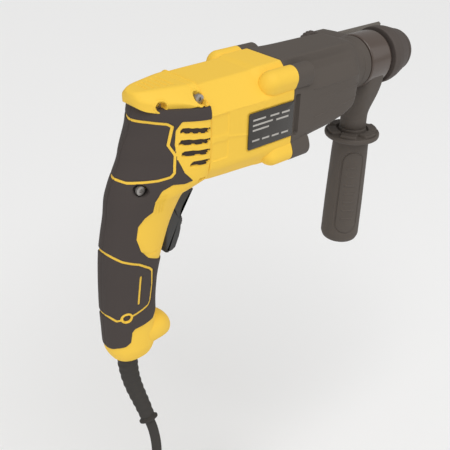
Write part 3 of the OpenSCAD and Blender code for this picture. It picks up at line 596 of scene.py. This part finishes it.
def handle_shell():
    """Yellow shells of the grip: their rings sunk at the air slots, the screw boss, the lock hole and the
    parting line, with three fine ridges above the trigger's lobe, and the heel as a second closed skin."""
    grid = handle_rows(300, 0.7)
    x, y, z = grid[..., 0], grid[..., 1], grid[..., 2]
    height = -5.0 * vent_mask(x, y, z)
    height = height - 6.0 * within(np.hypot(x - BOSS[0], z - BOSS[1]) - 2.9, 0.8) * (np.abs(y) > 6)
    height = height + 0.7 * within(np.hypot(x - BOSS[0], z - BOSS[1]) - 4.6, 1.2) * (np.abs(y) > 6)
    height = height - 6.0 * within(np.hypot(x - LOCK[0], z - LOCK[1]) - 4.6, 0.8) * (y < -6)
    height = height - 0.5 * np.exp(-((y / 0.45) ** 2)) * (z < 16)
    for shift in (0.0, 2.6, 5.2):
        line = [(25.5 + shift, -50.5), (24.5 + shift, -58), (25.5 + shift, -66.5)]
        height = height - 0.55 * within(to_line(x, z, line) - 0.35, 0.8) * (np.abs(y) > 8)
    lobe = np.abs(np.hypot(x - 26, z + 88) - 16.5) - 0.3
    height = height - 0.5 * within(lobe, 0.8) * (x > 14) * (x < 40) * (z < -80)
    skins = [closed(raised(grid, height))]
    places = np.array([20, 28, 34, 38, 41, 44, 46.5, 48.4, 49.6, 50.2])
    heel = [(20, -188, 14, 16.5, 2.6), (34, -188.5, 13.2, 15.8, 2.5), (41, -190, 12.2, 13.8, 2.4),
        (46, -192, 10.2, 10.8, 2.3), (49, -193.4, 7.2, 7.6, 2.2), (50.2, -194, 3.0, 3.0, 2.0)]
    middle, tall, wide, square = through(heel, places).T[:, :, None]
    across, upwards = squarish(np.linspace(0, 2 * np.pi, 96, endpoint=False)[None], square)
    x = np.repeat(places[:, None], 96, 1)
    skins.append(closed(np.stack([x, wide * across, middle + tall * upwards], -1)))
    return skins


def grip_rubber():
    """Rubber over the shells: the same rings, 1.0 proud inside the rubber's area and 0.8 under the shell's
    face outside it and along the trim lines. The height follows the signed distance, so both skins cross in
    a clean line. It also lays a black rubber floor 2.4 down in the air slots as painted shade, so the slots
    read dark."""
    grid = handle_rows(300, 0.7)
    x, y, z = grid[..., 0], grid[..., 1], grid[..., 2]
    away = to_area(x, z, RUBBER_AREA)
    for line, half in ((UPPER_LINE, 0.95), (LOWER_LINE, 0.95), (BAR_LINE, 0.9)):
        away = np.maximum(away, half - to_line(x, z, line))
    away = np.maximum(away, 5.0 - np.hypot(x - BOSS[0], z - BOSS[1]))
    height = np.clip(-away * 1.3, -0.8, 1.0)
    # painted shade: black rubber floor 2.4 down inside the air slots stands in for the dark of the open slots
    height = np.where(vent_mask(x, y, z) > 0.02, -2.4, height)
    height = height - 7.0 * within(np.hypot(x - LOCK[0], z - LOCK[1]) - 4.3, 0.8) * (y < -6)
    height = height - 0.7 * np.exp(-((y / 0.4) ** 2)) * (away < -1)
    return [closed(raised(grid, height))]


CAP_STATIONS = [
    (18.2, 1.2, 25.2, 3.4, 22.0, 3.0, 19.0), (18.9, 4.0, 26.2, 7.4, 22.0, 7.0, 17.0),
    (20.4, 6.0, 27.0, 11.0, 21.6, 10.6, 15.6), (24, 8.6, 27.6, 15.2, 21.2, 14.8, 14.0),
    (30, 11.0, 28.0, 18.8, 20.8, 18.4, 12.8), (38, 13.0, 28.1, 21.8, 20.4, 21.4, 12.2),
    (48, 15.2, 28.2, 27.2, 19.4, 27.0, 13.6), (57, 17.2, 28.2, 32.6, 17.0, 33.0, 16.0),
    (65.8, 18.2, 28.2, 35.4, 15.2, 36.0, 16.4),
]


def rear_cap():
    """Yellow cap: rings through its stations with five shallow grooves across the top and a raised rim
    round each screw hole."""
    places = 18.2 + 47.6 * np.linspace(0, 1, 110) ** 1.25
    half = through(CAP_STATIONS, places).reshape(len(places), 3, 2)
    corners = np.concatenate([half, half[:, ::-1] * [-1.0, 1.0]], 1)
    control = rounded(corners, [5.0, 4.5, 1.2, 1.2, 4.5, 5.0])
    counts = np.array([12, 8, 8, 10, 8, 12, 5, 5, 8, 8, 5, 5, 12, 8, 10, 8, 8, 12])
    outline = curve(control, counts)
    grid = np.concatenate([np.broadcast_to(places[:, None, None], outline.shape[:2] + (1,)), outline], -1)
    x, y, z = grid[..., 0], grid[..., 1], grid[..., 2]
    top = step((z - 24) / 2)
    height = drawn_in(places, 0.0, 65.8, 0.8, 1.6)[:, None] + np.zeros_like(x)
    for i in range(5):
        height = height - 0.75 * top * within(to_box(x, y, (30.5 + 5.2 * i, 0), (0.55, 6.5 + 1.1 * i), 0.5),
            0.9)
    for x0, z0 in ((33.0, 17.5), (61.0, 20.0)):
        away = np.hypot(x - x0, z - z0)
        height = height + 0.8 * within(away - 5.2, 1.4) * (np.abs(y) > 12)
        height = height - 6.0 * within(away - 3.6, 0.8) * (np.abs(y) > 12)
    height = height - 0.6 * within(np.abs(x - 60.5) - 0.25, 0.8) * top
    return [closed(raised(grid, height))]


# ---------------------------------------------------------------- front end


def chuck_sleeve():
    """Sliding sleeve: a profile turned about the spindle."""
    profile = softened([(305.2, 14.2), (305.2, 27.2), (312.5, 27.4), (319, 26.2), (333.8, 21.4),
        (333.8, 14.2)], 1.1)
    return [closed(turned(profile, "x", (0, 0, 0), 160))]


def dust_cap():
    """Rubber dust cap: a turned profile with a shoulder, a blunt nose and the opening for the drill."""
    outer = softened([(334.3, 9.6), (334.3, 20.6), (337, 20.9), (341.6, 18.4), (345.3, 13.0), (345.5, 6.1),
        (335.2, 6.1), (334.3, 9.6)], 1.3)[:-1]
    return [ring_round(turned(outer, "x", (0, 0, 0), 128))]


def clamp_band():
    """Smooth clamp band: a turned profile with rounded rims and a narrower step at its front."""
    outer = softened([(273.1, 21.6), (273.1, 24.6), (274.6, 25.2), (299.6, 25.2), (300.6, 24.4),
        (302.0, 24.2), (302.0, 21.6), (273.1, 21.6)], 0.8)[:-1]
    return [ring_round(turned(outer, "x", (0, 0, 0), 160))]


def clamp_saddle():
    """Saddle under the band: rings that follow the band's cylinder at the top and shrink to the round
    neck."""
    t = np.linspace(0, 2 * np.pi, 120, endpoint=False)[None]
    s = np.linspace(0, 1, 48)[:, None]
    fall = step(s * 1.05) ** 0.9
    square = 4.5 - 2.4 * fall
    along, across = squarish(t, square)
    x = SIDE_X + (13.6 - 0.8 * fall) * along
    y = (22.6 - 9.8 * fall) * across
    top = -np.sqrt(np.maximum(24.6**2 - y**2, 60.0))
    z = top * (1 - s) - 58.0 * s
    neck = turned([(-68.0, 12.6), (-67.4, 13.0), (-57.0, 13.0), (-54.0, 11.5)], "z", (SIDE_X, 0, 0), 96)
    return [closed(np.stack([x, y, z], -1)), closed(neck)]


def side_grip():
    """Side handle: a turned profile with a wide flange whose upper face has six spoked pockets, and an oval
    panel with short cross ridges on each side of the grip."""
    profile = softened([(-196, 0.1), (-196, 14.0), (-193.6, 18.0), (-189, 19.8), (-150, 19.4), (-96, 18.2),
        (-81.5, 17.6), (-79.6, 19.0), (-78.0, 26.4), (-76.6, 27.2), (-73.8, 27.2), (-73.0, 26.2),
        (-73.0, 13.6), (-68.4, 13.2), (-68.0, 12.2), (-68.0, 0.1)], 1.2, 6)
    grid = turned(resampled(profile, 330), "z", (SIDE_X, 0, 0), 220)
    angle = np.arctan2(grid[..., 1], grid[..., 0] - SIDE_X)
    z, r = grid[..., 2], np.hypot(grid[..., 0] - SIDE_X, grid[..., 1])
    sixth = (angle / (np.pi / 3)) % 1.0 - 0.5
    pocket = within(to_box(sixth * r, r, (0, 20.2), (7.6, 4.6), 1.4), 0.8)
    height = -2.6 * pocket * (z > -73.6)
    for centre in (-2.2, 0.94):
        u = ((angle - centre + np.pi) % (2 * np.pi) - np.pi) * 19.0
        panel = to_box(u, z, (0, -136), (11.5, 46), 11.0)
        height = height - 0.9 * within(np.abs(panel) - 0.7, 0.9) * (z < -85)
        ridges = within(np.abs((z + 136) / 9.5 - np.round((z + 136) / 9.5)) * 9.5 - 0.8, 0.9)
        height = height + 0.6 * ridges * within(np.abs(u) - 6.0, 1.0) * within(np.abs(z + 136) - 36, 1.0)
    return [closed(raised(grid, height))]


def rod_lug():
    """Lug that holds the depth rod: an outline from the band to the rod, carried along X with rounded rims."""
    corners = np.array([(18.5, 15.0), (44.0, 14.6), (61.0, 13.2), (61.0, -1.2), (44.0, -3.0), (18.5, -4.0)])
    outline = curve(rounded(corners, [0.5, 3, 5, 5, 3, 0.5]), 8)
    space = lambda flat, x: np.stack([x, flat[..., 0], flat[..., 1]], -1)
    return [closed(pillow(outline, 279.0, 299.0, 1.2, space))]


def mode_knob():
    """Mode knob: a turned profile whose rim carries twenty-four rounded grip ribs, with two pockets in its
    face that leave a bar across it."""
    profile = softened([(37.3, 0.1), (37.3, 15.0), (38.2, 16.0), (44.2, 15.6), (45.1, 14.4), (45.1, 0.1)],
        0.9)
    grid = turned(resampled(profile, 70), "y", (KNOB[0], 0, KNOB[1]), 216)
    dx, dz = grid[..., 0] - KNOB[0], grid[..., 2] - KNOB[1]
    r, angle = np.hypot(dx, dz), np.arctan2(dz, dx)
    height = -0.8 * step((r - 13.8) / 1.0) * (0.5 + 0.5 * np.cos(24 * angle)) ** 2
    for side in (8.4, -8.4):
        pocket = within(to_box(dx, dz, (side, 0), (4.0, 3.4), 2.0), 0.8)
        height = height - 1.2 * pocket * (grid[..., 1] > 44)
    return [closed(raised(grid, height))]


def trigger():
    """Trigger: its side outline as a rounded B-spline, carried across with rounded rims."""
    corners = np.array([(46, -63.4), (72.5, -64), (75.2, -67.6), (69.6, -73.5), (64, -81), (62, -90),
        (62, -100), (60.2, -107), (56, -116.6), (52, -118.6), (46, -118.4)])
    outline = curve(rounded(corners, [0.6, 1.6, 1.6, 3, 3, 3, 3, 2, 2, 2, 0.6]), 6)
    return [closed(pillow(outline, -7.5, 7.5, 2.0, upright, 7))]


def rating_plate():
    """Rating plate: a thin rounded rectangle on the right side."""
    corners = np.array([(104.0, 0.4), (155.2 - 1.2, 0.4), (155.2 - 1.2, -30.2), (104.0, -30.2)])
    outline = curve(rounded(corners, 3.2), 10)
    return [closed(pillow(outline, -38.85, -37.9, 0.3, upright, 4))]


def plate_marks():
    """Blank bars on the plate, in rows like a table, that carry no words."""
    bars = [(108, -5, 14), (127, -5.4, 10), (140, -5.8, 9), (108, -9.4, 22), (134, -10.2, 14),
        (108, -13.6, 18), (108, -22.4, 8), (119, -22.8, 8), (130, -23.2, 8), (141, -23.6, 8)]
    skins = []
    for x, z, long in bars:
        corners = np.array([(x, z), (x + long, z - 0.1), (x + long, z - 1.6), (x, z - 1.5)])
        outline = curve(rounded(corners, 0.3), 3)
        skins.append(closed(pillow(outline, -38.98, -38.6, 0.08, upright, 2)))
    return skins


# ---------------------------------------------------------------- cord

SLEEVE_PATH = [(7, 0, -206.5), (7, -0.6, -214), (7, -1.4, -222), (7.2, -4, -233), (8.2, -9, -245),
    (10, -17, -259), (11, -25, -272)]
FALL_PATH = [(10, -17, -259), (11, -25, -272), (12, -29, -281), (12, -33, -294), (11, -35.4, -308),
    (10, -36, -325), (10, -36, -345), (10, -36, -365), (10, -36, -384)]
COIL = (81.0, -36.0)
CORD_MM = 9.0
LAND_MM = 40.0


def cord_path():
    """Centreline of the cord: out of the strain relief, down, by a quarter circle into the coil, nearly nine
    turns, and out to the plug. Each turn keeps to one cell of the coil's section and moves to the next cell
    by a smooth step. Later turns move first, so a cell is always free before it is entered."""
    cells = np.array([(6.5, 0), (6.5, 1), (5.5, 1), (5.5, 0), (4.5, 0), (4.5, 1), (4.5, 2), (5.5, 2),
        (6.5, 2)])
    outer = 6.5 * CORD_MM
    land = math.pi + math.atan(LAND_MM / outer)
    e = np.array([math.cos(land), math.sin(land)])
    ahead = np.array([-math.sin(land), math.cos(land)])
    top = FLOOR_MM + 2.5 * CORD_MM
    turn = np.radians(np.arange(2, 90, 4.0))[:, None]
    flat = np.array(COIL) + outer * e - LAND_MM * ahead * np.cos(turn)
    bend = np.concatenate([flat, top + LAND_MM * (1 - np.sin(turn))], 1)
    sweep = 18 * math.pi - (land - math.pi / 2)
    swept = np.linspace(0, sweep, 1100)[1:]
    count = np.minimum((swept / (2 * math.pi)).astype(int), 8)
    drift = 2 * math.pi / 3.1
    moved = step((swept - 2 * math.pi * count - 0.3 * drift * (7 - count)) / drift)[:, None]
    cell = cells[count] * (1 - moved) + cells[np.minimum(count + 1, 8)] * moved
    angle = land + swept
    x = COIL[0] + cell[:, 0] * CORD_MM * np.cos(angle)
    y = COIL[1] + cell[:, 0] * CORD_MM * np.sin(angle)
    coil = np.stack([x, y, top - CORD_MM * cell[:, 1]], -1)
    tail_y = COIL[1] + outer
    tail = [(70, tail_y, FLOOR_MM + 4.6), (50, tail_y, FLOOR_MM + 4.6), (36, tail_y, FLOOR_MM + 5.0),
        (26, tail_y, FLOOR_MM + 6.0), (20, tail_y, FLOOR_MM + 7.0)]
    return flowing(np.concatenate([FALL_PATH, bend, coil, tail]), 2.0)


def strain_relief():
    """Bend relief: a tapered tube along the cord with round ribs, and a small flange at its lower end."""
    path = flowing(SLEEVE_PATH, 0.8)
    run = np.linspace(0, 1, len(path))
    radius = 9.2 - 2.9 * run + 0.25 * np.cos(run * 2 * np.pi * 11) * step(run * 6) * step((1 - run) * 6)
    radius = radius + 2.2 * within(np.abs(run - 0.975) - 0.02, 0.02)
    return [closed(tube(path, radius, 48))]


def plug():
    """Two-pin plug: superellipse rings from the cord's neck to the flat face, with five finger ribs."""
    tail_y = COIL[1] + 5.5 * CORD_MM + CORD_MM
    stations = [(-16.0, FLOOR_MM + 17, 15.6, 15.6), (-15.2, FLOOR_MM + 17, 16.6, 16.6),
        (-10, FLOOR_MM + 17, 16.8, 16.8), (-6, FLOOR_MM + 16, 14.0, 13.6), (4, FLOOR_MM + 12, 10.6, 9.6),
        (20.5, FLOOR_MM + 7.2, 6.4, 6.2)]
    places = np.linspace(-16.0, 20.5, 90)
    mid, wide, tall = through(stations, places).T[:, :, None]
    t = np.linspace(0, 2 * np.pi, 72, endpoint=False)[None]
    grip = 0.6 * within(np.abs((places - 6) / 4 - np.round((places - 6) / 4)) * 4 - 0.7, 0.8) * within(
        np.abs(places - 6) - 9, 1.0)
    y = tail_y + (wide - grip[:, None]) * np.cos(t)
    z = mid + (tall - grip[:, None]) * np.sin(t)
    return [closed(np.stack([np.repeat(places[:, None], 72, 1), y, z], -1))]


def coil_tie():
    """Tie round the coil's section: a flat strap as a closed loop of rounded rectangular rings."""
    loop = np.array([(-15.6, -0.8), (15.6, -0.8), (15.6, 28.4), (-15.6, 28.4)])
    path = curve(rounded(loop, 3.0), 8)
    across = np.roll(path, -1, 0) - np.roll(path, 1, 0)
    n = np.stack([across[:, 1], -across[:, 0]], -1)
    n /= np.linalg.norm(n, axis=1, keepdims=True)
    section = curve(rounded(np.array([(-4.5, 0.0), (4.5, 0.0), (4.5, 1.4), (-4.5, 1.4)]), 0.5), 3)
    flat = path[:, None] + n[:, None] * section[None, :, 1:]
    x = COIL[0] + 5.5 * CORD_MM + flat[..., 0]
    y = COIL[1] + np.broadcast_to(section[None, :, 0], flat.shape[:2])
    z = np.maximum(FLOOR_MM + flat[..., 1], FLOOR_MM + 0.02)
    return [ring_round(np.stack([x, y, z], -1))]


# ---------------------------------------------------------------- the add-on

CARRIED = {
    "rod_steel": ["depth_rod"],
    "screw_steel": ["front_screws", "handle_screws", "tie_bolt", "plug_pins"],
    "steel": ["armature", "front_motor_bearing", "rear_motor_bearing", "intermediate_shaft",
        "intermediate_gear", "intermediate_bearings", "wobble_ring", "spindle", "spindle_gear",
        "spindle_bearing", "spindle_needle_bearing", "striker", "impact_bolt", "locking_balls"],
    "alloy": ["bearing_flange", "piston"],
    "lamination": ["stator_core"],
    "copper": ["field_coils", "armature_winding", "commutator"],
    "brass": ["brush_holders"],
    "graphite": ["carbon_brushes"],
    "seal_rubber": ["spindle_seal", "striker_ring"],
    "switch_plastic": ["cooling_fan", "speed_dial", "reversing_lever", "lock_on_button", "switch_body",
        "cord_clamp"],
    "chuck_black": ["rod_lock_screw"],
    "yellow_plastic": ["mode_release_button"],
}


class HammerLook(bpy.types.PropertyGroup):
    """Colours and wear of the hammer."""

    body_colour: FloatVectorProperty(
        name="Body colour", description="Colour of the yellow shells", subtype="COLOR", size=3, min=0, max=1,
        default=FINISHES["yellow_plastic"][0])
    rubber_colour: FloatVectorProperty( name="Rubber colour",
        description="Colour of the rubber on the grip", subtype="COLOR", size=3, min=0, max=1,
        default=FINISHES["rubber_black"][0])
    wear: FloatProperty(
        name="Edge wear", description="How much lighter the convex edges are", min=0, max=1, default=0.22)


class HammerCord(bpy.types.PropertyGroup):
    """Size of the mains cord."""

    diameter: FloatProperty( name="Cord diameter", description="Thickness of the mains cord",
        default=CORD_MM / 1000, unit="LENGTH")
    sides: IntProperty(name="Cord sides", description="Faces round the cord", default=16, min=8, max=32)


class HammerStage(bpy.types.PropertyGroup):
    """Camera, lights and floor."""

    lens: FloatProperty(name="Lens", description="Focal length for a 36 mm sensor, in millimetres",
        default=58.97)
    azimuth: FloatProperty(
        name="Camera azimuth", description="Direction of the camera round the object", subtype="ANGLE",
        default=math.radians(-43.0))
    elevation: FloatProperty(
        name="Camera elevation", description="Height of the camera above the horizon", subtype="ANGLE",
        default=math.radians(30.34))
    roll: FloatProperty(
        name="Camera roll", description="Tilt of the camera about its own line", subtype="ANGLE",
        default=math.radians(2.08))
    distance: FloatProperty(
        name="Camera distance", description="From the camera to its target", unit="LENGTH", default=0.66223)
    target: FloatVectorProperty(
        name="Camera target", description="Point the camera looks at", subtype="TRANSLATION", size=3,
        default=(0.10821, 0.0, -0.00104))
    key_strength: FloatProperty(name="Key light", description="Strength of the broad soft light", default=1.7)
    fill_power: FloatProperty(name="Fill light", description="Power of the soft fill light in watts",
        default=2.4)
    room: FloatProperty(name="Room light", description="Brightness of the pale surroundings", default=0.40)


class HAMMER_OT_housings(bpy.types.Operator):
    """Motor housing, gear housing, rating plate and its blank marks"""

    bl_idname = "hammer.housings"
    bl_label = "Housings"

    def execute(self, context):
        piece("motor_housing_skin", motor_housing(), "yellow_plastic", "housing", ["motor_housing"])
        piece("gear_housing_skin", gear_housing(), "housing_dark", "housing", ["gear_housing"])
        piece("rating_plate_skin", rating_plate(), "plate_black", "housing", ["rating_plate"])
        piece("rating_plate_marks", plate_marks(), "plate_black", "housing", finish="plate_print")
        return {"FINISHED"}


class HAMMER_OT_handle(bpy.types.Operator):
    """Grip shells, rear cap and rubber"""

    bl_idname = "hammer.handle"
    bl_label = "Handle"

    def execute(self, context):
        piece("grip_shells", handle_shell(), "yellow_plastic", "housing", ["handle_shell_right",
            "handle_shell_left"])
        piece("rear_cap", rear_cap(), "yellow_plastic", "housing")
        piece("grip_rubber", grip_rubber(), "rubber_black", "housing", ["grip_rubber_right",
            "grip_rubber_left"])
        return {"FINISHED"}


class HAMMER_OT_chuck(bpy.types.Operator):
    """Chuck sleeve and dust cap"""

    bl_idname = "hammer.chuck"
    bl_label = "Chuck"

    def execute(self, context):
        piece("chuck_sleeve_skin", chuck_sleeve(), "chuck_black", "sliding_sleeve", ["chuck_sleeve"])
        piece("dust_cap_skin", dust_cap(), "chuck_black", "spindle_group", ["dust_cap"])
        return {"FINISHED"}


class HAMMER_OT_side_handle(bpy.types.Operator):
    """Clamp band, saddle, rod lug and side grip"""

    bl_idname = "hammer.side_handle"
    bl_label = "Side handle"

    def execute(self, context):
        piece("clamp_band_skin", clamp_band(), "clamp_dark", "side_handle", ["clamp_band"])
        piece("clamp_saddle_skin", clamp_saddle(), "housing_dark", "side_handle", ["clamp_saddle"])
        piece("rod_lug_skin", rod_lug(), "housing_dark", "side_handle", ["rod_lug"])
        piece("side_grip_skin", side_grip(), "housing_dark", "side_grip_body", ["side_grip"])
        return {"FINISHED"}


class HAMMER_OT_controls(bpy.types.Operator):
    """Trigger and mode knob"""

    bl_idname = "hammer.controls"
    bl_label = "Controls"

    def execute(self, context):
        piece("trigger_skin", trigger(), "switch_plastic", "trigger_body", ["trigger"])
        piece("mode_knob_skin", mode_knob(), "chuck_black", "knob_body", ["mode_knob"])
        return {"FINISHED"}


class HAMMER_OT_cord(bpy.types.Operator):
    """Strain relief, cord with its coil, tie and plug"""

    bl_idname = "hammer.cord"
    bl_label = "Cord"

    def execute(self, context):
        cord = context.scene.hammer_cord
        path = cord_path()
        piece("strain_relief", strain_relief(), "cord_rubber", "housing", ["cord_sleeve"])
        radius = cord.diameter * 500.0
        cable = piece("mains_cord", [closed(tube(path, radius, cord.sides))], "cord_rubber", "housing",
            ["cord_lead", "cord_coil", "cord_tail"])
        end = piece("mains_plug", plug(), "cord_rubber", "housing", ["plug"])
        tie = piece("coil_tie_strap", coil_tie(), "tie_plastic", "housing", ["coil_tie"])
        return {"FINISHED"}


class HAMMER_OT_carried(bpy.types.Operator):
    """Materials of the inner parts and fittings that keep their own meshes"""

    bl_idname = "hammer.carried"
    bl_label = "Inner parts"

    def execute(self, context):
        for slot, names in CARRIED.items():
            for name in names:
                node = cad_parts[name]
                node.data.materials.clear()
                node.data.materials.append(finish_of(slot))
        return {"FINISHED"}


class HAMMER_OT_stage(bpy.types.Operator):
    """Floor, soft lights, pale surroundings and the camera"""

    bl_idname = "hammer.stage"
    bl_label = "Stage"

    def execute(self, context):
        scene = context.scene
        stage = scene.hammer_stage
        mesh = bpy.data.meshes.new("floor")
        half, low = 4.0, (FLOOR_MM - GRIP_MM[2]) / 1000.0
        mesh.from_pydata([(-half, -half, low), (half, -half, low), (half, half, low), (-half, half, low)], [],
            [(0, 1, 2, 3)])
        floor = bpy.data.objects.new("floor", mesh)
        scene.collection.objects.link(floor)
        pale = bpy.data.materials.new("floor_pale")
        pale.use_nodes = True
        pale.node_tree.nodes["Principled BSDF"].inputs["Base Color"].default_value = (0.93, 0.93, 0.93, 1)
        pale.node_tree.nodes["Principled BSDF"].inputs["Roughness"].default_value = 0.9
        mesh.materials.append(pale)

        world = bpy.data.worlds.new("soft_room")
        world.use_nodes = True
        world.node_tree.nodes["Background"].inputs["Color"].default_value = (1.0, 0.995, 0.985, 1)
        world.node_tree.nodes["Background"].inputs["Strength"].default_value = stage.room
        scene.world = world
        scene.view_settings.view_transform = "Standard"
        scene.view_settings.look = "None"

        aim = Vector((0.11, 0, 0.0))
        for name, kind, spot, size, power in (
            ("key", "SUN", (-0.15, -0.55, 1.15), math.radians(55), stage.key_strength),
            ("fill", "AREA", (-1.1, -0.7, 0.25), 1.2, stage.fill_power),
            ("front", "AREA", (1.1, -0.9, 0.7), 1.0, stage.fill_power * 0.7),
        ):
            data = bpy.data.lights.new(name, kind)
            data.energy = power
            if kind == "SUN":
                data.angle = size
            else:
                data.shape, data.size = "DISK", size
            lamp = bpy.data.objects.new(name, data)
            lamp.location = spot
            lamp.rotation_euler = (aim - Vector(spot)).to_track_quat("-Z", "Y").to_euler()
            scene.collection.objects.link(lamp)

        a, e, roll = stage.azimuth, stage.elevation, stage.roll
        right = Vector((math.cos(a), math.sin(a), 0))
        back = Vector((math.sin(a) * math.cos(e), -math.cos(a) * math.cos(e), math.sin(e)))
        up = back.cross(right)
        turned_right = right * math.cos(roll) + up * math.sin(roll)
        turned_up = up * math.cos(roll) - right * math.sin(roll)
        data = bpy.data.cameras.new("camera")
        data.sensor_width, data.lens = 36.0, stage.lens
        data.clip_start, data.clip_end = 0.01, 50.0
        camera = bpy.data.objects.new("camera", data)
        rows = [turned_right, turned_up, back]
        turn = Matrix([[rows[j][i] for j in range(3)] for i in range(3)]).to_4x4()
        turn.translation = Vector(stage.target) + back * stage.distance
        camera.matrix_world = turn
        scene.collection.objects.link(camera)
        scene.camera = camera
        return {"FINISHED"}


class HAMMER_PT_panel(bpy.types.Panel):
    """Sizes, colours and the operators in order"""

    bl_idname = "HAMMER_PT_panel"
    bl_label = "Rotary hammer"
    bl_space_type = "VIEW_3D"
    bl_region_type = "UI"
    bl_category = "Rotary hammer"

    def draw(self, context):
        layout = self.layout
        for group in (context.scene.hammer_look, context.scene.hammer_cord, context.scene.hammer_stage):
            for name in group.__annotations__:
                layout.prop(group, name)
        for operator in OPERATORS:
            layout.operator(operator.bl_idname)


OPERATORS = (HAMMER_OT_housings, HAMMER_OT_handle, HAMMER_OT_chuck, HAMMER_OT_side_handle, HAMMER_OT_controls,
    HAMMER_OT_cord, HAMMER_OT_carried, HAMMER_OT_stage)
GROUPS = {"hammer_look": HammerLook, "hammer_cord": HammerCord, "hammer_stage": HammerStage}


def register():
    for name, group in GROUPS.items():
        bpy.utils.register_class(group)
        setattr(bpy.types.Scene, name, PointerProperty(type=group))
    for operator in OPERATORS:
        bpy.utils.register_class(operator)
    bpy.utils.register_class(HAMMER_PT_panel)


def unregister():
    bpy.utils.unregister_class(HAMMER_PT_panel)
    for operator in reversed(OPERATORS):
        bpy.utils.unregister_class(operator)
    for name, group in GROUPS.items():
        delattr(bpy.types.Scene, name)
        bpy.utils.unregister_class(group)


def main():
    register()
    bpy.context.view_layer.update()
    bpy.ops.hammer.housings()
    bpy.ops.hammer.handle()
    bpy.ops.hammer.chuck()
    bpy.ops.hammer.side_handle()
    bpy.ops.hammer.controls()
    bpy.ops.hammer.cord()
    bpy.ops.hammer.carried()
    bpy.ops.hammer.stage()
    bpy.context.view_layer.update()


if __name__ == "__main__":
    main()
